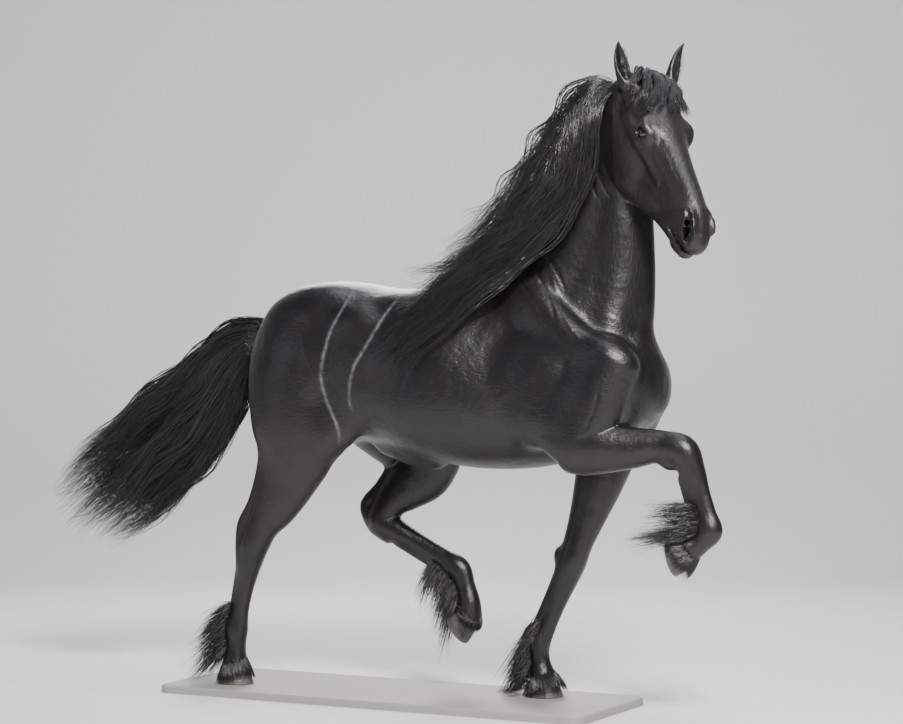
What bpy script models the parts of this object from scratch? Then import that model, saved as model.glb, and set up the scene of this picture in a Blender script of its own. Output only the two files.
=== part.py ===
"""A friesian stallion at the trot, life size, as a museum model.

The body is one smooth field of distances, skinned with a net of faces and cut into nodes by thin discs.
Hooves, eyes and the base are closed shells of their own. Mane, forelock, tail and feathers are flat
tapered locks, fused to the node they grow from. Metres; x to the nose, y to the animal's left, z up.
"""
import math
import random

import bmesh
import bpy
import numpy as np
from mathutils import Matrix
from mathutils.bvhtree import BVHTree

FAR = 1.0

def unit(v):
    v = np.asarray(v, float)
    return v / np.linalg.norm(v)

class Field:
    """Distance to the animal's surface, below zero inside, sampled on a box of grid lines."""
    def __init__(self, xs, ys, zs):
        self.lines = [np.asarray(a, np.float32) for a in (xs, ys, zs)]
        self.values = np.full([len(a) for a in self.lines], FAR, np.float32)

    def window(self, low, high, inside=None):
        """The part of the grid between two corners, and its coordinates."""
        spans = []
        for i, (line, a, b) in enumerate(zip(self.lines, low, high)):
            least, most = (inside[i].start, inside[i].stop) if inside else (0, len(line))
            first = min(most, max(least, int(np.searchsorted(line, a)) - 1))
            last = min(most, int(np.searchsorted(line, b)) + 1)
            spans.append(slice(first, max(first, last)))
        x, y, z = (line[s] for line, s in zip(self.lines, spans))
        return tuple(spans), (x[:, None, None], y[None, :, None], z[None, None, :])

    def apply(self, spans, shape, soft, carve=0.0):
        """Adds a shape with a soft joint, or cuts it away as deep as carve."""
        old = self.values[spans]
        if not carve:
            near = np.maximum(soft - np.abs(old - shape), 0.0)
            self.values[spans] = np.minimum(old, shape) - near * near / (4 * soft)
            return
        cut = np.maximum(shape, -(old + carve))
        near = np.maximum(soft - np.abs(old + cut), 0.0)
        self.values[spans] = np.maximum(old, -cut) + near * near / (4 * soft)

def ellipse_distance(offsets, radii):
    """About how far a point is outside an ellipsoid of these radii."""
    a = sum((o / r) ** 2 for o, r in zip(offsets, radii))
    b = sum((o / (r * r)) ** 2 for o, r in zip(offsets, radii))
    k = np.sqrt(a)
    return k * (k - 1) / np.maximum(np.sqrt(b), 1e-6)

def hermite(keys, values, at):
    """A smooth curve through values at keys."""
    keys, values = np.asarray(keys, float), np.asarray(values, float)
    slope = np.gradient(values, keys, axis=0)
    i = np.clip(np.searchsorted(keys, at) - 1, 0, len(keys) - 2)
    h = keys[i + 1] - keys[i]
    t = np.clip((at - keys[i]) / h, 0, 1)
    if values.ndim > 1:
        h, t = h[..., None], t[..., None]
    return ((1 + 2 * t) * (1 - t) ** 2 * values[i] + t * (1 - t) ** 2 * h * slope[i]
            + t * t * (3 - 2 * t) * values[i + 1] + t * t * (t - 1) * h * slope[i + 1])

def refined(rows, steps):
    """Rows of x, y, z and radii along a chain, with steps more between each two."""
    rows = np.asarray(rows, float)
    keys = np.concatenate([[0], np.cumsum(np.linalg.norm(np.diff(rows[:, :3], axis=0), axis=1))])
    at = np.concatenate([np.linspace(a, b, steps, endpoint=False) for a,
                         b in zip(keys, keys[1:])] + [[keys[-1]]])
    return hermite(keys, rows, at)

def dot(vectors, direction):
    return sum(v * np.float32(d) for v, d in zip(vectors, direction))

def chain(field, rows, soft, side=(0, 1, 0), steps=4, carve=0.0, place=None):
    """A tube of oval sections: a row is x, y, z, half width along side and half depth across it."""
    rows = refined(rows, steps) if len(rows) > 2 else np.asarray(rows, float)
    if place is not None:
        rows = np.column_stack([place(rows[:, :3]), rows[:, 3:] * place.scale])
        side = place.turn(side)
    points, radii = rows[:, :3], rows[:, 3:]
    steps_ = np.diff(points, axis=0)
    steps_ /= np.linalg.norm(steps_, axis=1)[:, None]
    normals = np.concatenate([steps_[:1], steps_[:-1] + steps_[1:], steps_[-1:]])
    normals /= np.linalg.norm(normals, axis=1)[:, None]
    across = np.cross(normals, side)
    across /= np.linalg.norm(across, axis=1)[:, None]
    lateral = np.cross(across, normals)
    reach = soft + 0.02
    most = radii.max(1)[:, None]
    spans, _ = field.window((points - most).min(0) - reach, (points + most).max(0) + reach)
    tube = np.full(field.values[spans].shape, FAR, np.float32)
    ends = np.full(field.values[spans].shape, FAR, np.float32)
    firsts = [s.start for s in spans]
    for i in range(len(rows) - 1):
        wide = max(radii[i].max(), radii[i + 1].max()) + reach
        low, high = np.minimum(points[i], points[i + 1]) - wide, np.maximum(points[i], points[i + 1]) + wide
        part, grid = field.window(low, high, spans)
        q = [g - np.float32(c) for g, c in zip(grid, points[i])]
        start = dot(q, normals[i])
        step = points[i + 1] - points[i]
        end = dot(q, normals[i + 1]) - np.float32(step @ normals[i + 1])
        between = (start >= 0) & (end <= 0)
        run = dot(q, steps_[i])
        length = np.float32(np.linalg.norm(step))
        t = np.where(between, start / np.maximum(start - end, 1e-9), np.clip(run / length, 0, 1))
        over = np.where(between, 0, run - t * length)
        s0, s1 = dot(q, lateral[i]), dot(q, lateral[i + 1]) - np.float32(step @ lateral[i + 1])
        u0, u1 = dot(q, across[i]), dot(q, across[i + 1]) - np.float32(step @ across[i + 1])
        wide_at = radii[i, 0] + (radii[i + 1, 0] - radii[i, 0]) * t
        deep_at = radii[i, 1] + (radii[i + 1, 1] - radii[i, 1]) * t
        d = ellipse_distance((s0 + (s1 - s0) * t, u0 + (u1 - u0) * t, over),
                             (wide_at, deep_at, np.minimum(wide_at, deep_at)))
        local = tuple(slice(p.start - f, p.stop - f) for p, f in zip(part, firsts))
        tube[local] = np.minimum(tube[local], np.where(between, d, FAR))
        ends[local] = np.minimum(ends[local], d)
    field.apply(spans, np.where(tube < FAR, tube, ends), soft, carve)

def ball(field, centre, radii, soft, axes=None, carve=0.0, place=None):
    """An ellipsoid with its radii along axes."""
    axes = np.eye(3) if axes is None else frame_of(*axes)
    centre = np.asarray(centre, float)
    radii = np.asarray(radii, float)
    if place is not None:
        axes = np.array([place.turn(a) for a in axes])
        centre = place(centre[None])[0]
        radii = radii * place.scale
    reach = np.abs(axes.T) @ radii + soft + 0.01
    spans, grid = field.window(centre - reach, centre + reach)
    q = [g - np.float32(c) for g, c in zip(grid, centre)]
    field.apply(spans, ellipse_distance([dot(q, axis) for axis in axes], radii), soft, carve)

def frame_of(along, side=(0, 1, 0)):
    """Rows along, side and across, squared up."""
    along = unit(along)
    across = unit(np.cross(along, side))
    return np.array([along, np.cross(across, along), across])

class Place:
    """Moves points and directions from a piece's own axes into the animal's."""
    def __init__(self, origin, axes, scale=1.0):
        self.origin, self.axes, self.scale = np.asarray(origin, float), np.asarray(axes, float), scale

    def __call__(self, points):
        return self.origin + self.scale * (np.asarray(points, float) @ self.axes)

    def turn(self, direction):
        return np.asarray(direction, float) @ self.axes

# Hooves: middle of the sole and the way the toe points
HOOVES = {"hind_right": ((-0.975, -0.118, 0.000), (1.00, 0.00, 0.00)),
          "fore_left": ((0.268, 0.120, 0.000), (1.00, 0.00, 0.00)),
          "hind_left": ((-0.108, 0.126, 0.250), (0.53, 0.00, -0.85)),
          "fore_right": ((0.915, -0.168, 0.583), (0.20, 0.00, -0.98))}
CORONET = (-0.005, 0.066)
CORONET_TILT = math.radians(21)

LEFT, RIGHT = 1, -1
SIDES = (LEFT, RIGHT)

# Trunk: x, top, bottom, half width, height of the widest point, roundness above and below
TRUNK = [
    (-0.880, 1.340, 1.200, 0.020, 1.26, 2.0, 2.0),
    (-0.862, 1.405, 1.120, 0.070, 1.27, 2.0, 2.0),
    (-0.820, 1.470, 1.030, 0.135, 1.27, 2.0, 2.0),
    (-0.760, 1.525, 0.975, 0.205, 1.27, 2.1, 2.0),
    (-0.680, 1.565, 0.950, 0.262, 1.27, 2.15, 2.0),
    (-0.560, 1.590, 0.950, 0.287, 1.28, 2.2, 2.0),
    (-0.430, 1.583, 0.962, 0.283, 1.27, 2.2, 2.0),
    (-0.300, 1.560, 0.940, 0.290, 1.22, 2.15, 2.1),
    (-0.130, 1.548, 0.895, 0.318, 1.18, 2.15, 2.2),
    (0.050, 1.575, 0.868, 0.315, 1.16, 2.0, 2.2),
    (0.190, 1.622, 0.864, 0.285, 1.14, 1.75, 2.2),
    (0.330, 1.590, 0.875, 0.248, 1.13, 1.75, 2.1),
    (0.470, 1.510, 0.905, 0.218, 1.14, 1.9, 2.0),
    (0.600, 1.430, 0.950, 0.195, 1.16, 2.0, 2.0),
    (0.710, 1.370, 1.005, 0.165, 1.18, 2.1, 2.0),
    (0.785, 1.310, 1.065, 0.115, 1.18, 2.0, 2.0),
    (0.820, 1.240, 1.120, 0.045, 1.18, 2.0, 2.0),
    (0.826, 1.210, 1.150, 0.020, 1.18, 2.0, 2.0),
]
# Neck: centre, half width and half depth, from the shoulders up to the poll
NECK = [
    (0.400, 0.000, 1.330, 0.190, 0.330),
    (0.462, 0.000, 1.470, 0.165, 0.318),
    (0.510, -0.004, 1.620, 0.132, 0.280),
    (0.548, -0.012, 1.770, 0.112, 0.238),
    (0.580, -0.028, 1.910, 0.092, 0.205),
    (0.620, -0.048, 2.040, 0.078, 0.175),
    (0.675, -0.072, 2.150, 0.068, 0.145),
    (0.735, -0.088, 2.215, 0.062, 0.110),
]
HEAD_ORIGIN = (0.800, -0.086, 2.312)
HEAD_YAW, HEAD_PITCH, HEAD_ROLL, HEAD_SCALE = -31.0, 35.5, 3.5, 1.065

def head_place():
    """The head's own axes: from the poll to the lips, to its left, and out of the face."""
    yaw, pitch, roll = (math.radians(a) for a in (HEAD_YAW, HEAD_PITCH, HEAD_ROLL))
    forward = np.array([math.cos(yaw), math.sin(yaw), 0.0])
    left = np.array([-math.sin(yaw), math.cos(yaw), 0.0])
    down = np.array([0.0, 0.0, -1.0])
    along = down * math.cos(pitch) + forward * math.sin(pitch)
    out = forward * math.cos(pitch) - down * math.sin(pitch)
    turned = np.array([along * math.cos(roll) - left * math.sin(roll),
                       left * math.cos(roll) + along * math.sin(roll), out])
    return Place(HEAD_ORIGIN, turned, HEAD_SCALE)

# Legs: x, y, z, half width and half depth, from the trunk down to the coronet
HIND_RIGHT = [
    (-0.600, -0.130, 1.300, 0.150, 0.215), (-0.640, -0.160, 1.150, 0.135, 0.222),
              (-0.650, -0.172, 1.020, 0.113, 0.203),
    (-0.662, -0.170, 0.930, 0.092, 0.178), (-0.700, -0.162, 0.820, 0.070, 0.132),
              (-0.765, -0.155, 0.700, 0.056, 0.092),
    (-0.820, -0.150, 0.625, 0.048, 0.066), (-0.857, -0.145, 0.560, 0.051, 0.060),
              (-0.888, -0.139, 0.480, 0.044, 0.050),
    (-0.920, -0.133, 0.380, 0.031, 0.042), (-0.947, -0.127, 0.280, 0.031, 0.042),
              (-0.963, -0.122, 0.212, 0.041, 0.050),
    (-0.966, -0.120, 0.150, 0.037, 0.042), (-0.974, -0.118, 0.072, 0.052, 0.056)]
HIND_LEFT = [
    (-0.560, 0.130, 1.300, 0.150, 0.215), (-0.470, 0.160, 1.150, 0.135, 0.230),
             (-0.345, 0.180, 1.020, 0.113, 0.200),
    (-0.262, 0.182, 0.930, 0.092, 0.155), (-0.278, 0.172, 0.845, 0.070, 0.128),
             (-0.352, 0.158, 0.772, 0.056, 0.096),
    (-0.415, 0.148, 0.710, 0.048, 0.068), (-0.445, 0.142, 0.645, 0.051, 0.060),
             (-0.375, 0.139, 0.605, 0.044, 0.050),
    (-0.275, 0.136, 0.558, 0.031, 0.042), (-0.165, 0.132, 0.505, 0.031, 0.042),
             (-0.100, 0.130, 0.468, 0.041, 0.050),
    (-0.068, 0.128, 0.400, 0.037, 0.042), (-0.052, 0.126, 0.340, 0.044, 0.048),
    (-0.053, 0.126, 0.286, 0.052, 0.056)]
FORE_RIGHT = [
    (0.690, -0.185, 1.270, 0.080, 0.110), (0.615, -0.198, 1.110, 0.085, 0.130),
              (0.575, -0.200, 0.975, 0.082, 0.118),
    (0.660, -0.196, 0.962, 0.074, 0.100), (0.780, -0.187, 0.960, 0.058, 0.076),
              (0.880, -0.177, 0.965, 0.049, 0.060),
    (0.960, -0.172, 0.948, 0.052, 0.058), (0.992, -0.170, 0.882, 0.044, 0.050),
              (1.018, -0.170, 0.800, 0.031, 0.044),
    (1.043, -0.170, 0.722, 0.031, 0.044), (1.056, -0.170, 0.668, 0.041, 0.050),
              (1.026, -0.168, 0.632, 0.037, 0.042),
    (0.977, -0.168, 0.602, 0.052, 0.056)]
FORE_LEFT = [
    (0.595, 0.170, 1.240, 0.080, 0.100), (0.545, 0.185, 1.080, 0.085, 0.125),
             (0.510, 0.190, 0.950, 0.080, 0.120),
    (0.476, 0.178, 0.820, 0.070, 0.100), (0.432, 0.164, 0.680, 0.053, 0.074),
             (0.395, 0.155, 0.575, 0.049, 0.060),
    (0.373, 0.150, 0.510, 0.052, 0.060), (0.346, 0.146, 0.440, 0.044, 0.052),
             (0.308, 0.138, 0.350, 0.031, 0.046),
    (0.270, 0.127, 0.255, 0.031, 0.046), (0.247, 0.121, 0.200, 0.042, 0.052),
             (0.254, 0.120, 0.140, 0.037, 0.042),
    (0.266, 0.120, 0.072, 0.052, 0.056)]
DOCK = [(-0.740, 0.000, 1.430, 0.080, 0.080), (-0.850, 0.000, 1.398, 0.060, 0.058),
        (-0.940, 0.000, 1.372, 0.050, 0.050),
        (-1.020, 0.000, 1.335, 0.042, 0.048), (-1.120, 0.000, 1.262, 0.050, 0.072),
        (-1.250, 0.000, 1.158, 0.052, 0.092),
        (-1.360, 0.000, 1.070, 0.042, 0.072), (-1.440, 0.000, 1.005, 0.016, 0.026)]

def trunk(field):
    rows = np.array(TRUNK)
    spans, (x, y, z) = field.window((-0.97, -0.42, 0.78), (0.90, 0.42, 1.72))
    at = hermite(rows[:, 0], rows[:, 1:], x.ravel().astype(float))
    top, bottom, half, middle, above, below = (at[:, i].astype(np.float32)[:, None, None] for i in range(6))
    half = np.maximum(half, 0.012)
    up = z > middle
    tall = np.maximum(np.where(up, top - middle, middle - bottom), 0.02)
    power = np.where(up, above, below)
    u, v = np.abs(y) / half, np.abs(z - middle) / tall
    r = (u ** power + v ** power) ** (1 / power)
    slope = np.sqrt((u / half) ** 2 + (v / tall) ** 2) / np.maximum(np.sqrt(u * u + v * v), 1e-6)
    ends = np.maximum(x - rows[-1, 0], rows[0, 0] - x)
    field.apply(spans, np.maximum((r - 1) / np.maximum(slope, 1e-3), ends).astype(np.float32), 0.01)

def trunk_muscles(field):
    for s in SIDES:
        # croup, thigh and loin
        ball(field, (-0.560, s * 0.130, 1.440), (0.230, 0.120, 0.130), 0.05)
        ball(field, (-0.710, s * 0.140, 1.250), (0.165, 0.110, 0.230), 0.07)
        ball(field, (-0.345, s * 0.205, 1.415), (0.085, 0.055, 0.060), 0.07)
        ball(field, (-0.120, s * 0.095, 1.475), (0.300, 0.110, 0.060), 0.06)
        # shoulder blade, its two muscles and the upper arm
        chain(field, [(0.235, s * 0.115, 1.545, 0.035, 0.075), (0.400, s * 0.175, 1.430, 0.045, 0.085),
                      (0.540, s * 0.198, 1.335, 0.045, 0.075),
                      (0.665 if s < 0 else 0.605, s * 0.188, 1.275, 0.050, 0.065)], 0.05)
        ball(field, (0.420, s * 0.190, 1.180), (0.200, 0.080, 0.150), 0.06, axes=((0.8, 0, -0.6),))
        ball(field, (0.430, s * 0.198, 1.050), (0.120, 0.065, 0.100), 0.06)
        # breast
        ball(field, (0.715, s * 0.072, 1.180), (0.090, 0.072, 0.120), 0.04)
        ball(field, (0.620, s * 0.105, 1.050), (0.120, 0.075, 0.085), 0.06)
        # flank
        chain(field, [(-0.330, s * 0.190, 1.180, 0.050, 0.070),
                      (-0.400 if s < 0 else -0.340, s * 0.195, 1.080, 0.045, 0.070),
                      (-0.450 if s < 0 else -0.280, s * 0.195, 1.000, 0.040, 0.070)], 0.08)
    # sheath
    chain(field, [(-0.340, 0.000, 0.960, 0.045, 0.050), (-0.230, 0.000, 0.920, 0.050, 0.050),
                  (-0.130, 0.000, 0.890, 0.035, 0.035)], 0.05)

def neck_muscles(field):
    for s in SIDES:
        # windpipe side, upper neck and the pad in front of the shoulder blade
        chain(field, [(0.640, s * 0.075, 1.400, 0.060, 0.060), (0.665, s * 0.055, 1.600, 0.048, 0.055),
                      (0.665, s * 0.042 - 0.02, 1.780, 0.040, 0.050),
                      (0.662, s * 0.030 - 0.040, 1.920, 0.032, 0.040)], 0.05)
        chain(field, [(0.360, s * 0.110, 1.520, 0.060, 0.110), (0.430, s * 0.095, 1.680, 0.045, 0.100),
                      (0.510, s * 0.072 - 0.02, 1.860, 0.038, 0.085),
                      (0.610, s * 0.050 - 0.050, 2.050, 0.034, 0.070),
                      (0.680, s * 0.040 - 0.075, 2.150, 0.030, 0.050)], 0.05)

def joints(field):
    # point of each hock with the tendon above it
    chain(field, [(-0.775, -0.165, 0.960, 0.036, 0.050), (-0.822, -0.160, 0.830, 0.018, 0.030),
                  (-0.872, -0.152, 0.715, 0.014, 0.024),
                  (-0.918, -0.146, 0.625, 0.022, 0.028), (-0.925, -0.142, 0.560, 0.024, 0.030),
                  (-0.922, -0.138, 0.470, 0.024, 0.034)], 0.022)
    chain(field, [(-0.380, 0.172, 0.955, 0.036, 0.050), (-0.405, 0.162, 0.868, 0.020, 0.034),
                  (-0.462, 0.152, 0.778, 0.016, 0.030),
                  (-0.525, 0.146, 0.698, 0.022, 0.028), (-0.500, 0.143, 0.640, 0.024, 0.030),
                  (-0.415, 0.140, 0.585, 0.024, 0.034)], 0.022)
    # bone at the back of each knee
    ball(field, (0.905, -0.172, 0.905), (0.026, 0.022, 0.036), 0.025, axes=((0.35, 0, 1),))
    ball(field, (0.325, 0.152, 0.535), (0.026, 0.022, 0.036), 0.025)
    # point of each elbow
    ball(field, (0.480, -0.205, 1.000), (0.050, 0.035, 0.055), 0.04)
    ball(field, (0.405, 0.195, 0.985), (0.050, 0.035, 0.055), 0.04)
    # stifles
    ball(field, (-0.490, -0.190, 1.010), (0.075, 0.065, 0.110), 0.05)
    ball(field, (-0.215, 0.190, 0.965), (0.075, 0.065, 0.090), 0.05)
    # tendon behind each cannon bone and the swelling behind each fetlock
    for rows in (((-0.945, -0.133, 0.440), (-0.985, -0.122, 0.235)),
                 ((-0.375, 0.138, 0.560), (-0.150, 0.131, 0.448)),
                 ((0.955, -0.171, 0.850), (1.005, -0.170, 0.690)),
                 ((0.318, 0.146, 0.450), (0.220, 0.122, 0.225))):
        a, b = rows
        chain(field, [(*a, 0.016, 0.018), (*b, 0.017, 0.020)], 0.018)
        ball(field, b, (0.030, 0.030, 0.032), 0.025)

def head(field):
    p = head_place()
    def add(rows, soft=0.02, **more):
        chain(field, rows, soft, place=p, **more)
    def lump(centre, radii, soft=0.02, **more):
        ball(field, centre, radii, soft, place=p, **more)
    # whole depth of the head, from the poll to the lips
    add([(0.010, 0, -0.100, 0.060, 0.090), (0.070, 0, -0.134, 0.070, 0.140),
         (0.130, 0, -0.146, 0.074, 0.157), (0.200, 0, -0.147, 0.074, 0.160),
         (0.270, 0, -0.145, 0.068, 0.152), (0.340, 0, -0.135, 0.059, 0.134),
         (0.410, 0, -0.119, 0.053, 0.114), (0.480, 0, -0.106, 0.048, 0.098),
         (0.550, 0, -0.099, 0.047, 0.088), (0.600, 0, -0.098, 0.048, 0.078),
         (0.640, 0, -0.096, 0.046, 0.060), (0.662, 0, -0.100, 0.040, 0.046)], 0.03)
    # skull, and the broad upper part of the face
    add([(0.000, 0, -0.055, 0.060, 0.045), (0.060, 0, -0.060, 0.082, 0.066),
         (0.130, 0, -0.062, 0.088, 0.070), (0.210, 0, -0.066, 0.088, 0.070),
         (0.290, 0, -0.066, 0.076, 0.062), (0.370, 0, -0.062, 0.062, 0.054),
         (0.450, 0, -0.060, 0.052, 0.050), (0.540, 0, -0.062, 0.046, 0.048),
         (0.600, 0, -0.068, 0.046, 0.044)], 0.03)
    # flat of the forehead and nose
    add([(0.060, 0, -0.012, 0.040, 0.016), (0.130, 0, -0.008, 0.060, 0.018),
         (0.210, 0, -0.008, 0.064, 0.019), (0.300, 0, -0.018, 0.042, 0.018),
         (0.420, 0, -0.022, 0.030, 0.016), (0.540, 0, -0.026, 0.025, 0.016),
         (0.590, 0, -0.034, 0.020, 0.014)], 0.025)
    for s in SIDES:
        # cheek
        lump((0.170, s * 0.051, -0.196), (0.135, 0.046, 0.118), 0.045)
        # lower jaw
        add([(0.070, s * 0.050, -0.244, 0.022, 0.038), (0.140, s * 0.055, -0.270, 0.024, 0.040),
             (0.220, s * 0.053, -0.276, 0.024, 0.037),
             (0.300, s * 0.044, -0.260, 0.021, 0.033), (0.380, s * 0.035, -0.224, 0.020, 0.031),
             (0.470, s * 0.025, -0.188, 0.021, 0.028),
             (0.550, s * 0.014, -0.166, 0.024, 0.026)], 0.03)
        # ridge along the face
        add([(0.245, s * 0.070, -0.092, 0.013, 0.013), (0.310, s * 0.063, -0.098, 0.011, 0.010),
             (0.400, s * 0.049, -0.100, 0.006, 0.008)], 0.03)
        # bone behind the eye
        add([(0.100, s * 0.080, -0.090, 0.010, 0.014), (0.170, s * 0.087, -0.090, 0.012, 0.013),
             (0.235, s * 0.082, -0.090, 0.010, 0.012)], 0.03)
        # eye's bulge, brow and the hollow above it
        lump((0.232, s * 0.070, -0.046), (0.052, 0.034, 0.040), 0.03)
        add([(0.198, s * 0.082, -0.022, 0.010, 0.010), (0.230, s * 0.092, -0.020, 0.010, 0.010),
             (0.262, s * 0.080, -0.030, 0.008, 0.008)], 0.022)
        lump((0.172, s * 0.096, -0.040), (0.022, 0.014, 0.013), 0.03, carve=0.03)
        # nostril's outer wall
        add([(0.565, s * 0.034, -0.046, 0.012, 0.018), (0.610, s * 0.039, -0.042, 0.017, 0.024),
             (0.644, s * 0.042, -0.058, 0.018, 0.026),
             (0.652, s * 0.039, -0.086, 0.015, 0.021)], 0.02)
        # root of the ear
        lump((0.018, s * 0.066, -0.045), (0.040, 0.030, 0.036), 0.03)
    # upper lip, lower lip and chin
    lump((0.644, 0, -0.094), (0.035, 0.042, 0.042), 0.02)
    lump((0.662, 0, -0.120), (0.018, 0.032, 0.020), 0.015)
    add([(0.550, 0, -0.158, 0.034, 0.028), (0.605, 0, -0.168, 0.035, 0.026),
         (0.652, 0, -0.160, 0.032, 0.023)], 0.02)
    lump((0.606, 0, -0.180), (0.030, 0.026, 0.020), 0.015)
    ears(field)
    eyes_and_mouth(field, p)

# Ears: foot, tip and the way each cup opens
EARS = {"right": ((0.728, -0.150, 2.268), (0.708, -0.172, 2.424), (0.78, -0.62, 0.05)),
        "left": ((0.838, -0.008, 2.268), (0.880, 0.030, 2.432), (0.95, -0.10, 0.05))}

def ears(field):
    for foot, tip, opening in EARS.values():
        foot, tip = np.array(foot), np.array(tip)
        along = unit(tip - foot)
        out = unit(np.array(opening) - along * (np.array(opening) @ along))
        side = np.cross(out, along)
        place = Place(foot, np.array([along, side, out]))
        long = np.linalg.norm(tip - foot)
        chain(field, [(0.000, 0, 0.000, 0.028, 0.030), (0.22 * long, 0, -0.002, 0.030, 0.028),
                      (0.45 * long, 0, -0.004, 0.031, 0.023),
                      (0.70 * long, 0, -0.006, 0.024, 0.017), (0.90 * long, 0, -0.002, 0.012, 0.010),
                      (long, 0, 0.004, 0.004, 0.005)], 0.012, place=place)
        chain(field, [(0.18 * long, 0, 0.024, 0.012, 0.014), (0.30 * long, 0, 0.020, 0.020, 0.019),
                      (0.50 * long, 0, 0.014, 0.022, 0.017),
                      (0.72 * long, 0, 0.008, 0.016, 0.012), (0.90 * long, 0, 0.008, 0.005, 0.006)], 0.006,
              place=place, carve=0.2)

EYE = (0.238, 0.078, -0.048)
EYE_RADIUS = 0.0235

# Each nostril, from its wide lower end up to the slit above
NOSTRIL = {s: [(0.666, s * 0.050, -0.090, 0.018, 0.013), (0.655, s * 0.058, -0.068, 0.018, 0.018),
               (0.630, s * 0.059, -0.049, 0.016, 0.015), (0.603, s * 0.053, -0.036, 0.012, 0.009),
               (0.586, s * 0.050, -0.032, 0.009, 0.005)] for s in SIDES}

def eyes_and_mouth(field, p):
    for s in SIDES:
        # opening between the lids, then the two lids' edges
        centre = (EYE[0], s * (EYE[1] + 0.012), EYE[2])
        ball(field, centre, (0.023, 0.030, 0.0125), 0.004, place=p, carve=0.06, axes=((0.80, 0.0, 0.60),))
        # nostril
        chain(field, NOSTRIL[s], 0.005, place=p, carve=0.030)
        # mouth line
        chain(field, [(0.562, s * 0.044, -0.150, 0.022, 0.0035), (0.605, s * 0.044, -0.144, 0.022, 0.0035),
                      (0.650, s * 0.034, -0.139, 0.022, 0.0035),
                      (0.684, s * 0.012, -0.137, 0.022, 0.0035)], 0.004, place=p, carve=0.009)

def body(field):
    trunk(field)
    chain(field, NECK, 0.09)
    neck_muscles(field)
    trunk_muscles(field)
    for leg in (HIND_RIGHT, HIND_LEFT, FORE_RIGHT, FORE_LEFT):
        chain(field, leg, 0.045)
    joints(field)
    chain(field, DOCK, 0.05)
    head(field)

def spaced(low, fine_low, fine_high, high, fine, coarse):
    """Grid lines from low to high, close together between the two inner ones."""
    inner = np.arange(fine_low, fine_high + fine / 2, fine)
    before = np.arange(fine_low - coarse, low - coarse / 2, -coarse)[::-1]
    after = np.arange(inner[-1] + coarse, high + coarse / 2, coarse)
    return np.concatenate([before, inner, after])

def settle(values):
    """Fills the few grid squares whose corners alternate, so that no edge of the net joins four faces."""
    for _ in range(8):
        found = 0
        for axis in range(3):
            views = []
            for a, b in ((0, 0), (0, 1), (1, 1), (1, 0)):
                part = [slice(None)] * 3
                part[(axis + 1) % 3] = slice(a, values.shape[(axis + 1) % 3] - 1 + a)
                part[(axis + 2) % 3] = slice(b, values.shape[(axis + 2) % 3] - 1 + b)
                views.append(values[tuple(part)])
            inside = [view < 0 for view in views]
            crossed = (inside[0] == inside[2]) & (inside[1] == inside[3]) & (inside[0] != inside[1])
            for view in views:
                view[crossed & (view >= 0)] = -0.0006
            found += int(crossed.sum())
        if not found:
            break

def surface_net(field):
    """Points and four-sided faces where the field is zero: one point in each crossed cell."""
    settle(field.values)
    v, lines = field.values, field.lines
    inside = v < 0
    corners = np.zeros([n - 1 for n in v.shape], np.int8)
    for dx, dy, dz in np.ndindex(2, 2, 2):
        corners += inside[dx:v.shape[0] - 1 + dx, dy:v.shape[1] - 1 + dy, dz:v.shape[2] - 1 + dz]
    cells = np.argwhere((corners > 0) & (corners < 8))
    index = -np.ones(corners.shape, np.int32)
    index[tuple(cells.T)] = np.arange(len(cells))
    total, hits = np.zeros((len(cells), 3)), np.zeros(len(cells))
    for axis in range(3):
        others = [a for a in range(3) if a != axis]
        for da, db in np.ndindex(2, 2):
            start = cells.copy()
            start[:, others[0]] += da
            start[:, others[1]] += db
            end = start.copy()
            end[:, axis] += 1
            a, b = v[tuple(start.T)], v[tuple(end.T)]
            cross = (a < 0) != (b < 0)
            t = np.where(cross, a / np.where(cross, a - b, 1), 0)
            at = np.stack([lines[k][start[:, k]] for k in range(3)], 1).astype(float)
            at[:, axis] += t * (lines[axis][end[:, axis]] - lines[axis][start[:, axis]])
            total += at * cross[:, None]
            hits += cross
    faces = []
    for axis in range(3):
        first, second = (axis + 1) % 3, (axis + 2) % 3
        near, far = [slice(None)] * 3, [slice(None)] * 3
        near[axis], far[axis] = slice(0, -1), slice(1, None)
        edges = np.argwhere(inside[tuple(near)] != inside[tuple(far)])
        leaving = inside[tuple(near)][tuple(edges.T)]
        quad = []
        for a, b in ((1, 1), (0, 1), (0, 0), (1, 0)):
            cell = edges.copy()
            cell[:, first] -= a
            cell[:, second] -= b
            quad.append(index[tuple(cell.T)])
        quad = np.stack(quad, 1)
        quad[~leaving] = quad[~leaving][:, ::-1]
        faces.append(quad)
    return total / hits[:, None], np.concatenate(faces)

class Clearance:
    """Distance from the finished field at any point, and the way out."""
    def __init__(self, field):
        self.lines, self.values = field.lines, field.values

    def at(self, point):
        low, part = [], []
        for line, c in zip(self.lines, point):
            i = int(np.clip(np.searchsorted(line, c) - 1, 0, len(line) - 2))
            low.append(i)
            part.append(float(np.clip((c - line[i]) / (line[i + 1] - line[i]), 0, 1)))
        cube = self.values[low[0]:low[0] + 2, low[1]:low[1] + 2, low[2]:low[2] + 2].astype(float)
        for t in part:
            cube = cube[0] * (1 - t) + cube[1] * t
        return float(cube)

    def slope(self, point, step=0.008):
        """The direction away from the nearest surface."""
        way = np.array([self.at(point + e) - self.at(point - e) for e in np.eye(3) * step])
        size = np.linalg.norm(way)
        return way / size if size > 1e-5 else np.zeros(3)

    def push(self, point, least):
        """The point moved outward until it is at least this far from the surface."""
        point = np.array(point, float)
        for _ in range(14):
            d = self.at(point)
            way = self.slope(point)
            if d >= least - 0.0005 or not way.any():
                break
            point = point + way * min(0.03, least - d)
        return point

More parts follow.
